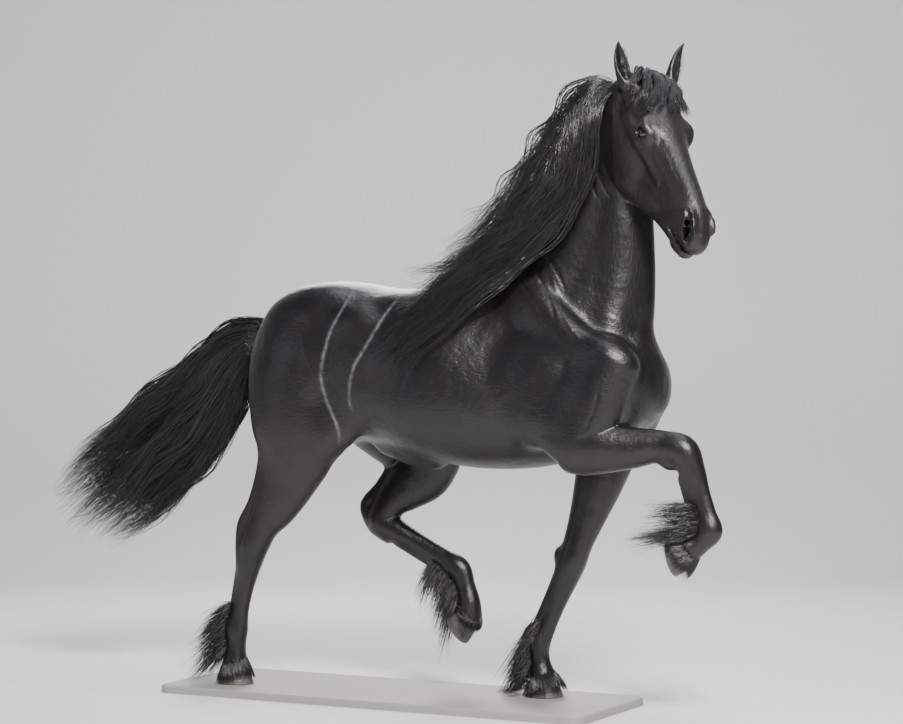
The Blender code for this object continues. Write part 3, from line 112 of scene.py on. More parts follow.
def refined(rows, steps):
    """Rows of x, y, z and radii along a chain, with steps more between each two."""
    rows = np.asarray(rows, float)
    keys = np.concatenate([[0], np.cumsum(np.linalg.norm(np.diff(rows[:, :3], axis=0), axis=1))])
    at = np.concatenate([np.linspace(a, b, steps, endpoint=False) for a, b in zip(keys, keys[1:])]
        + [[keys[-1]]])
    return hermite(keys, rows, at)

def dot(vectors, direction):
    return sum(v * np.float32(d) for v, d in zip(vectors, direction))

def chain(field, rows, soft, side=(0, 1, 0), steps=4, carve=0.0, place=None):
    """A tube of oval sections: a row is x, y, z, half width along side and half depth across it."""
    rows = refined(rows, steps) if len(rows) > 2 else np.asarray(rows, float)
    if place is not None:
        rows = np.column_stack([place(rows[:, :3]), rows[:, 3:] * place.scale])
        side = place.turn(side)
    points, radii = rows[:, :3], rows[:, 3:]
    ways = units(np.diff(points, axis=0))
    normals = units(np.concatenate([ways[:1], ways[:-1] + ways[1:], ways[-1:]]))
    across = units(np.cross(normals, side))
    lateral = np.cross(across, normals)
    reach = soft + 0.02
    most = radii.max(1)[:, None]
    spans, _ = field.window((points - most).min(0) - reach, (points + most).max(0) + reach)
    tube = np.full(field.values[spans].shape, FAR, np.float32)
    ends = np.full(field.values[spans].shape, FAR, np.float32)
    firsts = [s.start for s in spans]
    for i in range(len(rows) - 1):
        wide = max(radii[i].max(), radii[i + 1].max()) + reach
        low, high = np.minimum(points[i], points[i + 1]) - wide, np.maximum(points[i], points[i + 1]) + wide
        part, grid = field.window(low, high, spans)
        q = [g - np.float32(c) for g, c in zip(grid, points[i])]
        start = dot(q, normals[i])
        step = points[i + 1] - points[i]
        end = dot(q, normals[i + 1]) - np.float32(step @ normals[i + 1])
        between = (start >= 0) & (end <= 0)
        run = dot(q, ways[i])
        length = np.float32(np.linalg.norm(step))
        t = np.where(between, start / np.maximum(start - end, 1e-9), np.clip(run / length, 0, 1))
        over = np.where(between, 0, run - t * length)
        s0, s1 = dot(q, lateral[i]), dot(q, lateral[i + 1]) - np.float32(step @ lateral[i + 1])
        u0, u1 = dot(q, across[i]), dot(q, across[i + 1]) - np.float32(step @ across[i + 1])
        wide_at = radii[i, 0] + (radii[i + 1, 0] - radii[i, 0]) * t
        deep_at = radii[i, 1] + (radii[i + 1, 1] - radii[i, 1]) * t
        d = ellipse_distance((s0 + (s1 - s0) * t, u0 + (u1 - u0) * t, over),
            (wide_at, deep_at, np.minimum(wide_at, deep_at)))
        local = tuple(slice(p.start - f, p.stop - f) for p, f in zip(part, firsts))
        tube[local] = np.minimum(tube[local], np.where(between, d, FAR))
        ends[local] = np.minimum(ends[local], d)
    field.apply(spans, np.where(tube < FAR, tube, ends), soft, carve)

def ball(field, centre, radii, soft, axes=None, carve=0.0, place=None):
    """An ellipsoid with its radii along axes."""
    axes = np.eye(3) if axes is None else frame_of(*axes)
    centre = np.asarray(centre, float)
    radii = np.asarray(radii, float)
    if place is not None:
        axes = np.array([place.turn(a) for a in axes])
        centre = place(centre[None])[0]
        radii = radii * place.scale
    reach = np.abs(axes.T) @ radii + soft + 0.01
    spans, grid = field.window(centre - reach, centre + reach)
    q = [g - np.float32(c) for g, c in zip(grid, centre)]
    field.apply(spans, ellipse_distance([dot(q, axis) for axis in axes], radii), soft, carve)

def frame_of(along, side=(0, 1, 0)):
    """Rows along, side and across, squared up."""
    along = unit(along)
    across = unit(np.cross(along, side))
    return np.array([along, np.cross(across, along), across])

class Place:
    """Moves points and directions from a piece's own axes into the animal's."""
    def __init__(self, origin, axes, scale=1.0):
        self.origin, self.axes, self.scale = np.asarray(origin, float), np.asarray(axes, float), scale

    def __call__(self, points):
        return self.origin + self.scale * (np.asarray(points, float) @ self.axes)

    def turn(self, direction):
        return np.asarray(direction, float) @ self.axes

# Hooves: middle of the sole and the way the toe points
HOOVES = {"hind_right": ((-0.975, -0.118, 0.0), (1.0, 0.0, 0.0)),
    "fore_left": ((0.268, 0.12, 0.0), (1.0, 0.0, 0.0)),
    "hind_left": ((-0.108, 0.126, 0.25), (0.53, 0.0, -0.85)),
    "fore_right": ((0.915, -0.168, 0.583), (0.2, 0.0, -0.98))}
CORONET = (-0.005, 0.066)
CORONET_TILT = math.radians(21)

LEFT, RIGHT = 1, -1
SIDES = (LEFT, RIGHT)

# Trunk: x, top, bottom, half width, height of the widest point, roundness above and below
TRUNK = [(-0.88, 1.34, 1.2, 0.02, 1.26, 2.0, 2.0), (-0.862, 1.405, 1.12, 0.07, 1.27, 2.0, 2.0),
    (-0.82, 1.47, 1.03, 0.135, 1.27, 2.0, 2.0), (-0.76, 1.525, 0.975, 0.205, 1.27, 2.1, 2.0),
    (-0.68, 1.565, 0.95, 0.262, 1.27, 2.15, 2.0), (-0.56, 1.59, 0.95, 0.287, 1.28, 2.2, 2.0),
    (-0.43, 1.583, 0.962, 0.283, 1.27, 2.2, 2.0), (-0.3, 1.56, 0.94, 0.29, 1.22, 2.15, 2.1),
    (-0.13, 1.548, 0.895, 0.318, 1.18, 2.15, 2.2), (0.05, 1.575, 0.868, 0.315, 1.16, 2.0, 2.2),
    (0.19, 1.622, 0.864, 0.285, 1.14, 1.75, 2.2), (0.33, 1.59, 0.875, 0.248, 1.13, 1.75, 2.1),
    (0.47, 1.51, 0.905, 0.218, 1.14, 1.9, 2.0), (0.6, 1.43, 0.95, 0.195, 1.16, 2.0, 2.0),
    (0.71, 1.37, 1.005, 0.165, 1.18, 2.1, 2.0), (0.785, 1.31, 1.065, 0.115, 1.18, 2.0, 2.0),
    (0.82, 1.24, 1.12, 0.045, 1.18, 2.0, 2.0), (0.826, 1.21, 1.15, 0.02, 1.18, 2.0, 2.0)]
# Neck: centre, half width and half depth, from the shoulders up to the poll
NECK = [(0.4, 0.0, 1.33, 0.19, 0.33), (0.462, 0.0, 1.47, 0.165, 0.318), (0.51, -0.004, 1.62, 0.132, 0.28),
    (0.548, -0.012, 1.77, 0.112, 0.238), (0.58, -0.028, 1.91, 0.092, 0.205),
    (0.62, -0.048, 2.04, 0.078, 0.175), (0.675, -0.072, 2.15, 0.068, 0.145),
    (0.735, -0.088, 2.215, 0.062, 0.11)]
HEAD_ORIGIN = (0.8, -0.086, 2.312)
HEAD_YAW, HEAD_PITCH, HEAD_ROLL, HEAD_SCALE = -31.0, 35.5, 3.5, 1.065

def head_place():
    """The head's own axes: from the poll to the lips, to its left, and out of the face."""
    yaw, pitch, roll = (math.radians(a) for a in (HEAD_YAW, HEAD_PITCH, HEAD_ROLL))
    forward = np.array([math.cos(yaw), math.sin(yaw), 0.0])
    left = np.array([-math.sin(yaw), math.cos(yaw), 0.0])
    down = np.array([0.0, 0.0, -1.0])
    along = down * math.cos(pitch) + forward * math.sin(pitch)
    out = forward * math.cos(pitch) - down * math.sin(pitch)
    turned = np.array([along * math.cos(roll) - left * math.sin(roll),
        left * math.cos(roll) + along * math.sin(roll), out])
    return Place(HEAD_ORIGIN, turned, HEAD_SCALE)

# Legs: x, y, z, half width and half depth, from the trunk down to the coronet
HIND_RIGHT = [(-0.6, -0.13, 1.3, 0.15, 0.215), (-0.64, -0.16, 1.15, 0.135, 0.222),
    (-0.65, -0.172, 1.02, 0.113, 0.203), (-0.662, -0.17, 0.93, 0.092, 0.178),
    (-0.7, -0.162, 0.82, 0.07, 0.132), (-0.765, -0.155, 0.7, 0.056, 0.092),
    (-0.82, -0.15, 0.625, 0.048, 0.066), (-0.857, -0.145, 0.56, 0.051, 0.06),
    (-0.888, -0.139, 0.48, 0.044, 0.05), (-0.92, -0.133, 0.38, 0.031, 0.042),
    (-0.947, -0.127, 0.28, 0.031, 0.042), (-0.963, -0.122, 0.212, 0.041, 0.05),
    (-0.966, -0.12, 0.15, 0.037, 0.042), (-0.974, -0.118, 0.072, 0.052, 0.056)]
HIND_LEFT = [(-0.56, 0.13, 1.3, 0.15, 0.215), (-0.47, 0.16, 1.15, 0.135, 0.23),
    (-0.345, 0.18, 1.02, 0.113, 0.2), (-0.262, 0.182, 0.93, 0.092, 0.155),
    (-0.278, 0.172, 0.845, 0.07, 0.128), (-0.352, 0.158, 0.772, 0.056, 0.096),
    (-0.415, 0.148, 0.71, 0.048, 0.068), (-0.445, 0.142, 0.645, 0.051, 0.06),
    (-0.375, 0.139, 0.605, 0.044, 0.05), (-0.275, 0.136, 0.558, 0.031, 0.042),
    (-0.165, 0.132, 0.505, 0.031, 0.042), (-0.1, 0.13, 0.468, 0.041, 0.05),
    (-0.068, 0.128, 0.4, 0.037, 0.042), (-0.052, 0.126, 0.34, 0.044, 0.048),
    (-0.053, 0.126, 0.286, 0.052, 0.056)]
FORE_RIGHT = [(0.69, -0.185, 1.27, 0.08, 0.11), (0.615, -0.198, 1.11, 0.085, 0.13),
    (0.575, -0.2, 0.975, 0.082, 0.118), (0.66, -0.196, 0.962, 0.074, 0.1),
    (0.78, -0.187, 0.96, 0.058, 0.076), (0.88, -0.177, 0.965, 0.049, 0.06),
    (0.96, -0.172, 0.948, 0.052, 0.058), (0.992, -0.17, 0.882, 0.044, 0.05),
    (1.018, -0.17, 0.8, 0.031, 0.044), (1.043, -0.17, 0.722, 0.031, 0.044),
    (1.056, -0.17, 0.668, 0.041, 0.05), (1.026, -0.168, 0.632, 0.037, 0.042),
    (0.977, -0.168, 0.602, 0.052, 0.056)]
FORE_LEFT = [(0.595, 0.17, 1.24, 0.08, 0.1), (0.545, 0.185, 1.08, 0.085, 0.125),
    (0.51, 0.19, 0.95, 0.08, 0.12), (0.476, 0.178, 0.82, 0.07, 0.1), (0.432, 0.164, 0.68, 0.053, 0.074),
    (0.395, 0.155, 0.575, 0.049, 0.06), (0.373, 0.15, 0.51, 0.052, 0.06),
    (0.346, 0.146, 0.44, 0.044, 0.052), (0.308, 0.138, 0.35, 0.031, 0.046),
    (0.27, 0.127, 0.255, 0.031, 0.046), (0.247, 0.121, 0.2, 0.042, 0.052),
    (0.254, 0.12, 0.14, 0.037, 0.042), (0.266, 0.12, 0.072, 0.052, 0.056)]
DOCK = [(-0.74, 0.0, 1.43, 0.08, 0.08), (-0.85, 0.0, 1.398, 0.06, 0.058), (-0.94, 0.0, 1.372, 0.05, 0.05),
    (-1.02, 0.0, 1.335, 0.042, 0.048), (-1.12, 0.0, 1.262, 0.05, 0.072), (-1.25, 0.0, 1.158, 0.052, 0.092),
    (-1.36, 0.0, 1.07, 0.042, 0.072), (-1.44, 0.0, 1.005, 0.016, 0.026)]

def trunk(field):
    rows = np.array(TRUNK)
    spans, (x, y, z) = field.window((-0.97, -0.42, 0.78), (0.9, 0.42, 1.72))
    at = hermite(rows[:, 0], rows[:, 1:], x.ravel().astype(float))
    top, bottom, half, middle, above, below = (at[:, i].astype(np.float32)[:, None, None] for i in range(6))
    half = np.maximum(half, 0.012)
    up = z > middle
    tall = np.maximum(np.where(up, top - middle, middle - bottom), 0.02)
    power = np.where(up, above, below)
    u, v = np.abs(y) / half, np.abs(z - middle) / tall
    r = (u ** power + v ** power) ** (1 / power)
    slope = np.sqrt((u / half) ** 2 + (v / tall) ** 2) / np.maximum(np.sqrt(u * u + v * v), 1e-6)
    ends = np.maximum(x - rows[-1, 0], rows[0, 0] - x)
    field.apply(spans, np.maximum((r - 1) / np.maximum(slope, 1e-3), ends).astype(np.float32), 0.01)

def trunk_muscles(field):
    for s in SIDES:
        # croup, thigh and loin
        ball(field, (-0.56, s * 0.13, 1.44), (0.23, 0.12, 0.13), 0.05)
        ball(field, (-0.71, s * 0.14, 1.25), (0.165, 0.11, 0.23), 0.07)
        ball(field, (-0.345, s * 0.205, 1.415), (0.085, 0.055, 0.06), 0.07)
        ball(field, (-0.12, s * 0.095, 1.475), (0.3, 0.11, 0.06), 0.06)
        # shoulder blade, its two muscles and the upper arm
        chain(field, [(0.235, s * 0.115, 1.545, 0.035, 0.075), (0.4, s * 0.175, 1.43, 0.045, 0.085),
            (0.54, s * 0.198, 1.335, 0.045, 0.075),
            (0.665 if s < 0 else 0.605, s * 0.188, 1.275, 0.05, 0.065)], 0.05)
        ball(field, (0.42, s * 0.19, 1.18), (0.2, 0.08, 0.15), 0.06, axes=((0.8, 0, -0.6),))
        ball(field, (0.43, s * 0.198, 1.05), (0.12, 0.065, 0.1), 0.06)
        # breast
        ball(field, (0.715, s * 0.072, 1.18), (0.09, 0.072, 0.12), 0.04)
        ball(field, (0.62, s * 0.105, 1.05), (0.12, 0.075, 0.085), 0.06)
        # flank
        chain(field, [(-0.33, s * 0.19, 1.18, 0.05, 0.07),
            (-0.4 if s < 0 else -0.34, s * 0.195, 1.08, 0.045, 0.07),
            (-0.45 if s < 0 else -0.28, s * 0.195, 1.0, 0.04, 0.07)], 0.08)
    # sheath
    chain(field, [(-0.34, 0.0, 0.96, 0.045, 0.05), (-0.23, 0.0, 0.92, 0.05, 0.05),
        (-0.13, 0.0, 0.89, 0.035, 0.035)], 0.05)

def neck_muscles(field):
    for s in SIDES:
        # windpipe side, upper neck and the pad in front of the shoulder blade
        chain(field, [(0.64, s * 0.075, 1.4, 0.06, 0.06), (0.665, s * 0.055, 1.6, 0.048, 0.055),
            (0.665, s * 0.042 - 0.02, 1.78, 0.04, 0.05), (0.662, s * 0.03 - 0.04, 1.92, 0.032, 0.04)], 0.05)
        chain(field, [(0.36, s * 0.11, 1.52, 0.06, 0.11), (0.43, s * 0.095, 1.68, 0.045, 0.1),
            (0.51, s * 0.072 - 0.02, 1.86, 0.038, 0.085), (0.61, s * 0.05 - 0.05, 2.05, 0.034, 0.07),
            (0.68, s * 0.04 - 0.075, 2.15, 0.03, 0.05)], 0.05)

def joints(field):
    # point of each hock with the tendon above it
    chain(field, [(-0.775, -0.165, 0.96, 0.036, 0.05), (-0.822, -0.16, 0.83, 0.018, 0.03),
        (-0.872, -0.152, 0.715, 0.014, 0.024), (-0.918, -0.146, 0.625, 0.022, 0.028),
        (-0.925, -0.142, 0.56, 0.024, 0.03), (-0.922, -0.138, 0.47, 0.024, 0.034)], 0.022)
    chain(field, [(-0.38, 0.172, 0.955, 0.036, 0.05), (-0.405, 0.162, 0.868, 0.02, 0.034),
        (-0.462, 0.152, 0.778, 0.016, 0.03), (-0.525, 0.146, 0.698, 0.022, 0.028),
        (-0.5, 0.143, 0.64, 0.024, 0.03), (-0.415, 0.14, 0.585, 0.024, 0.034)], 0.022)
    # bone at the back of each knee
    ball(field, (0.905, -0.172, 0.905), (0.026, 0.022, 0.036), 0.025, axes=((0.35, 0, 1),))
    ball(field, (0.325, 0.152, 0.535), (0.026, 0.022, 0.036), 0.025)
    # point of each elbow
    ball(field, (0.48, -0.205, 1.0), (0.05, 0.035, 0.055), 0.04)
    ball(field, (0.405, 0.195, 0.985), (0.05, 0.035, 0.055), 0.04)
    # stifles
    ball(field, (-0.49, -0.19, 1.01), (0.075, 0.065, 0.11), 0.05)
    ball(field, (-0.215, 0.19, 0.965), (0.075, 0.065, 0.09), 0.05)
    # tendon behind each cannon bone and the swelling behind each fetlock
    for rows in (((-0.945, -0.133, 0.44), (-0.985, -0.122, 0.235)),
            ((-0.375, 0.138, 0.56), (-0.15, 0.131, 0.448)), ((0.955, -0.171, 0.85), (1.005, -0.17, 0.69)),
            ((0.318, 0.146, 0.45), (0.22, 0.122, 0.225))):
        a, b = rows
        chain(field, [(*a, 0.016, 0.018), (*b, 0.017, 0.02)], 0.018)
        ball(field, b, (0.03, 0.03, 0.032), 0.025)

def head(field):
    p = head_place()
    def add(rows, soft=0.02, **more):
        chain(field, rows, soft, place=p, **more)
    def lump(centre, radii, soft=0.02, **more):
        ball(field, centre, radii, soft, place=p, **more)
    # whole depth of the head, from the poll to the lips
    add([(0.01, 0, -0.1, 0.06, 0.09), (0.07, 0, -0.134, 0.07, 0.14), (0.13, 0, -0.146, 0.074, 0.157),
        (0.2, 0, -0.147, 0.074, 0.16), (0.27, 0, -0.145, 0.068, 0.152), (0.34, 0, -0.135, 0.059, 0.134),
        (0.41, 0, -0.119, 0.053, 0.114), (0.48, 0, -0.106, 0.048, 0.098), (0.55, 0, -0.099, 0.047, 0.088),
        (0.6, 0, -0.098, 0.048, 0.078), (0.64, 0, -0.096, 0.046, 0.06), (0.662, 0, -0.1, 0.04, 0.046)],
        0.03)
    # skull, and the broad upper part of the face
    add([(0.0, 0, -0.055, 0.06, 0.045), (0.06, 0, -0.06, 0.082, 0.066), (0.13, 0, -0.062, 0.088, 0.07),
        (0.21, 0, -0.066, 0.088, 0.07), (0.29, 0, -0.066, 0.076, 0.062), (0.37, 0, -0.062, 0.062, 0.054),
        (0.45, 0, -0.06, 0.052, 0.05), (0.54, 0, -0.062, 0.046, 0.048), (0.6, 0, -0.068, 0.046, 0.044)],
        0.03)
    # flat of the forehead and nose
    add([(0.06, 0, -0.012, 0.04, 0.016), (0.13, 0, -0.008, 0.06, 0.018), (0.21, 0, -0.008, 0.064, 0.019),
        (0.3, 0, -0.018, 0.042, 0.018), (0.42, 0, -0.022, 0.03, 0.016), (0.54, 0, -0.026, 0.025, 0.016),
        (0.59, 0, -0.034, 0.02, 0.014)], 0.025)
    for s in SIDES:
        # cheek
        lump((0.17, s * 0.051, -0.196), (0.135, 0.046, 0.118), 0.045)
        # lower jaw
        add([(0.07, s * 0.05, -0.244, 0.022, 0.038), (0.14, s * 0.055, -0.27, 0.024, 0.04),
            (0.22, s * 0.053, -0.276, 0.024, 0.037), (0.3, s * 0.044, -0.26, 0.021, 0.033),
            (0.38, s * 0.035, -0.224, 0.02, 0.031), (0.47, s * 0.025, -0.188, 0.021, 0.028),
            (0.55, s * 0.014, -0.166, 0.024, 0.026)], 0.03)
        # ridge along the face
        add([(0.245, s * 0.07, -0.092, 0.013, 0.013), (0.31, s * 0.063, -0.098, 0.011, 0.01),
            (0.4, s * 0.049, -0.1, 0.006, 0.008)], 0.03)
        # bone behind the eye
        add([(0.1, s * 0.08, -0.09, 0.01, 0.014), (0.17, s * 0.087, -0.09, 0.012, 0.013),
            (0.235, s * 0.082, -0.09, 0.01, 0.012)], 0.03)
        # eye's bulge, brow and the hollow above it
        lump((0.232, s * 0.07, -0.046), (0.052, 0.034, 0.04), 0.03)
        add([(0.198, s * 0.082, -0.022, 0.01, 0.01), (0.23, s * 0.092, -0.02, 0.01, 0.01),
            (0.262, s * 0.08, -0.03, 0.008, 0.008)], 0.022)
        lump((0.172, s * 0.096, -0.04), (0.022, 0.014, 0.013), 0.03, carve=0.03)
        # nostril's outer wall
        add([(0.565, s * 0.034, -0.046, 0.012, 0.018), (0.61, s * 0.039, -0.042, 0.017, 0.024),
            (0.644, s * 0.042, -0.058, 0.018, 0.026), (0.652, s * 0.039, -0.086, 0.015, 0.021)], 0.02)
        # root of the ear
        lump((0.018, s * 0.066, -0.045), (0.04, 0.03, 0.036), 0.03)
    # upper lip, lower lip and chin
    lump((0.644, 0, -0.094), (0.035, 0.042, 0.042), 0.02)
    lump((0.662, 0, -0.12), (0.018, 0.032, 0.02), 0.015)
    add([(0.55, 0, -0.158, 0.034, 0.028), (0.605, 0, -0.168, 0.035, 0.026),
        (0.652, 0, -0.16, 0.032, 0.023)], 0.02)
    lump((0.606, 0, -0.18), (0.03, 0.026, 0.02), 0.015)
    ears(field)
    eyes_and_mouth(field, p)

# Ears: foot, tip and the way each cup opens
EARS = {"right": ((0.728, -0.15, 2.268), (0.708, -0.172, 2.424), (0.78, -0.62, 0.05)),
    "left": ((0.838, -0.008, 2.268), (0.88, 0.03, 2.432), (0.95, -0.1, 0.05))}

def ear_axes():
    """Each ear's name, length and axes: up it, across it and out of its opening."""
    for label, (foot, tip, opening) in EARS.items():
        rise, opening = np.subtract(tip, foot), np.array(opening)
        along = unit(rise)
        out = unit(opening - along * (opening @ along))
        yield label, np.linalg.norm(rise), Place(foot, np.array([along, np.cross(out, along), out]))

def ears(field):
    for _, long, place in ear_axes():
        chain(field, [(0, 0, 0, 0.028, 0.03), (0.22 * long, 0, -0.002, 0.03, 0.028),
            (0.45 * long, 0, -0.004, 0.031, 0.023), (0.7 * long, 0, -0.006, 0.024, 0.017),
            (0.9 * long, 0, -0.002, 0.012, 0.01), (long, 0, 0.004, 0.004, 0.005)], 0.012, place=place)
        chain(field, [(0.18 * long, 0, 0.024, 0.012, 0.014), (0.3 * long, 0, 0.02, 0.02, 0.019),
            (0.5 * long, 0, 0.014, 0.022, 0.017), (0.72 * long, 0, 0.008, 0.016, 0.012),
            (0.9 * long, 0, 0.008, 0.005, 0.006)], 0.006, place=place, carve=0.2)

EYE = (0.238, 0.078, -0.048)
EYE_RADIUS = 0.0235
# How much smaller the finished eyeball is than the solid one
EYE_SLACK = 0.0002

# Each nostril, from its wide lower end up to the slit above
NOSTRIL = {s: [(0.666, s * 0.05, -0.09, 0.018, 0.013), (0.655, s * 0.058, -0.068, 0.018, 0.018),
    (0.63, s * 0.059, -0.049, 0.016, 0.015), (0.603, s * 0.053, -0.036, 0.012, 0.009),
    (0.586, s * 0.05, -0.032, 0.009, 0.005)] for s in SIDES}

def eyes_and_mouth(field, p):
    for s in SIDES:
        # opening between the lids
        centre = (EYE[0], s * (EYE[1] + 0.012), EYE[2])
        ball(field, centre, (0.023, 0.03, 0.0125), 0.004, place=p, carve=0.06, axes=((0.8, 0.0, 0.6),))
        # nostril
        chain(field, NOSTRIL[s], 0.005, place=p, carve=0.03)
        # mouth line
        chain(field, [(0.562, s * 0.044, -0.15, 0.022, 0.0035), (0.605, s * 0.044, -0.144, 0.022, 0.0035),
            (0.65, s * 0.034, -0.139, 0.022, 0.0035), (0.684, s * 0.012, -0.137, 0.022, 0.0035)], 0.004,
            place=p, carve=0.009)

def body(field):
    trunk(field)
    chain(field, NECK, 0.09)
    neck_muscles(field)
    trunk_muscles(field)
    for leg in (HIND_RIGHT, HIND_LEFT, FORE_RIGHT, FORE_LEFT):
        chain(field, leg, 0.045)
    joints(field)
    chain(field, DOCK, 0.05)
    head(field)

def spaced(low, fine_low, fine_high, high, fine, coarse):
    """Grid lines from low to high, close together between the two inner ones."""
    inner = np.arange(fine_low, fine_high + fine / 2, fine)
    before = np.arange(fine_low - coarse, low - coarse / 2, -coarse)[::-1]
    after = np.arange(inner[-1] + coarse, high + coarse / 2, coarse)
    return np.concatenate([before, inner, after])

def settle(values):
    """Fills the few grid squares whose corners alternate, so that no edge of the net joins four faces."""
    for _ in range(8):
        found = 0
        for axis in range(3):
            views = []
            for a, b in ((0, 0), (0, 1), (1, 1), (1, 0)):
                part = [slice(None)] * 3
                part[(axis + 1) % 3] = slice(a, values.shape[(axis + 1) % 3] - 1 + a)
                part[(axis + 2) % 3] = slice(b, values.shape[(axis + 2) % 3] - 1 + b)
                views.append(values[tuple(part)])
            inside = [view < 0 for view in views]
            crossed = (inside[0] == inside[2]) & (inside[1] == inside[3]) & (inside[0] != inside[1])
            for view in views:
                view[crossed & (view >= 0)] = -0.0006
            found += int(crossed.sum())
        if not found:
            break

def surface_net(field):
    """Points and four-sided faces where the field is zero: one point in each crossed cell."""
    settle(field.values)
    v, lines = field.values, field.lines
    inside = v < 0
    corners = np.zeros([n - 1 for n in v.shape], np.int8)
    for dx, dy, dz in np.ndindex(2, 2, 2):
        corners += inside[dx:v.shape[0] - 1 + dx, dy:v.shape[1] - 1 + dy, dz:v.shape[2] - 1 + dz]
    cells = np.argwhere((corners > 0) & (corners < 8))
    index = -np.ones(corners.shape, np.int32)
    index[tuple(cells.T)] = np.arange(len(cells))
    total, hits = np.zeros((len(cells), 3)), np.zeros(len(cells))
    for axis in range(3):
        others = [a for a in range(3) if a != axis]
        for da, db in np.ndindex(2, 2):
            start = cells.copy()
            start[:, others[0]] += da
            start[:, others[1]] += db
            end = start.copy()
            end[:, axis] += 1
            a, b = v[tuple(start.T)], v[tuple(end.T)]
            cross = (a < 0) != (b < 0)
            t = np.where(cross, a / np.where(cross, a - b, 1), 0)
            at = np.stack([lines[k][start[:, k]] for k in range(3)], 1).astype(float)
            at[:, axis] += t * (lines[axis][end[:, axis]] - lines[axis][start[:, axis]])
            total += at * cross[:, None]
            hits += cross
    faces = []
    for axis in range(3):
        first, second = (axis + 1) % 3, (axis + 2) % 3
        near, far = [slice(None)] * 3, [slice(None)] * 3
        near[axis], far[axis] = slice(0, -1), slice(1, None)
        edges = np.argwhere(inside[tuple(near)] != inside[tuple(far)])
        leaving = inside[tuple(near)][tuple(edges.T)]
        quad = []
        for a, b in ((1, 1), (0, 1), (0, 0), (1, 0)):
            cell = edges.copy()
            cell[:, first] -= a
            cell[:, second] -= b
            quad.append(index[tuple(cell.T)])
        quad = np.stack(quad, 1)
        quad[~leaving] = quad[~leaving][:, ::-1]
        faces.append(quad)
    return total / hits[:, None], np.concatenate(faces)

# Where the modelling axes lie in the frame, read from the base
BASE_MIDDLE, BASE_HEIGHT = (-0.3, 0.0), 0.03
BASE_LOW, BASE_HIGH = (np.array(corner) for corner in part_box("stand_base"))
MOVE = np.array([(BASE_LOW[0] + BASE_HIGH[0]) / 2 - BASE_MIDDLE[0],
    (BASE_LOW[1] + BASE_HIGH[1]) / 2 - BASE_MIDDLE[1], BASE_LOW[2] + BASE_HEIGHT])

# The photo's camera: azimuth, distance, height, focal length and horizon in pixels
PHOTO_WIDE, PHOTO_HIGH = 903, 724
CAMERA_TURN, CAMERA_FAR, CAMERA_HIGH, CAMERA_SHIFT = math.radians(28.0), 8.5, 1.2, -0.055
FOCAL, HORIZON, SENSOR = 2227.0, 380.6, 36.0
SIDEWAYS = np.array([math.cos(CAMERA_TURN), math.sin(CAMERA_TURN), 0.0])
BACKWARD = np.array([math.sin(CAMERA_TURN), -math.cos(CAMERA_TURN), 0.0])
PITCH = math.atan((HORIZON - PHOTO_HIGH / 2) / FOCAL)
FORWARD = -BACKWARD * math.cos(PITCH) + np.array([0.0, 0.0, math.sin(PITCH)])
UPWARD = np.cross(SIDEWAYS, FORWARD)
CAMERA_AT = BACKWARD * CAMERA_FAR + SIDEWAYS * CAMERA_SHIFT + np.array([0.0, 0.0, CAMERA_HIGH])

# Depth of the short coat, which the solids include and the skin doesn't
COAT_DEPTH = 0.002
# Longest single move of a point toward or away from the skin
STRIDE = 0.03

class Clearance:
    """Distance from the skin at many points at once, and the way out."""
    def __init__(self, field):
        self.lines, self.values = field.lines, field.values

    def at(self, points):
        index, part = [], []
        for line, c in zip(self.lines, points.T):
            i = np.clip(np.searchsorted(line, c) - 1, 0, len(line) - 2)
            index.append(i)
            part.append(np.clip((c - line[i]) / (line[i + 1] - line[i]), 0, 1))
        total = np.zeros(len(points))
        for corner in np.ndindex(2, 2, 2):
            weight = np.ones(len(points))
            for c, p in zip(corner, part):
                weight = weight * (p if c else 1 - p)
            total += weight * self.values[index[0] + corner[0], index[1] + corner[1], index[2] + corner[2]]
        return total

    def slope(self, points, step=0.008):
        return units(np.stack([self.at(points + e) - self.at(points - e) for e in np.eye(3) * step], 1))

    def moved(self, points, target, back, rounds):
        """The points moved along the slope to this distance from the skin, by at most STRIDE a round."""
        for _ in range(rounds):
            short = np.clip(target - self.at(points), back, STRIDE)
            points = points + self.slope(points) * short[:, None]
        return points

    def push(self, points, least):
        """The points moved outward until they are at least this far from the skin."""
        return self.moved(points, least, 0.0, 5)

    def drop(self, points):
        """The points moved onto the skin from near it."""
        return self.moved(points, 0.0, -STRIDE, 6)

# Materials

# Places of the Mix node's sockets: its two numbers and two colours in, and its colour out
NUMBERS_IN, COLOURS_IN, COLOUR_OUT = (2, 3), (6, 7), 2

def shader_of(name):
    made = bpy.data.materials.new(name)
    made.use_nodes = True
    return made, made.node_tree, made.node_tree.nodes["Principled BSDF"]

def put(tree, made, **values):
    """Sets a node's inputs or properties by name; a value that is another node's output is linked."""
    for key, value in values.items():
        socket = made.inputs.get(key.replace("_", " "))
        if socket is None:
            setattr(made, key, value)
        elif isinstance(value, bpy.types.NodeSocket):
            tree.links.new(value, socket)
        else:
            socket.default_value = value
    return made

def node(tree, kind, **values):
    return put(tree, tree.nodes.new("ShaderNode" + kind), **values)

def attribute(tree, name, output="Fac"):
    return node(tree, "Attribute", attribute_name=name).outputs[output]

def noise(tree, scale, stretch=(1, 1, 1), detail=3.0):
    """A noise in the piece's own axes, drawn out by stretch."""
    place = node(tree, "TexCoord").outputs["Object"]
    drawn = node(tree, "Mapping", Vector=place, Scale=stretch).outputs["Vector"]
    return node(tree, "TexNoise", Vector=drawn, Scale=scale, Detail=detail).outputs["Fac"]

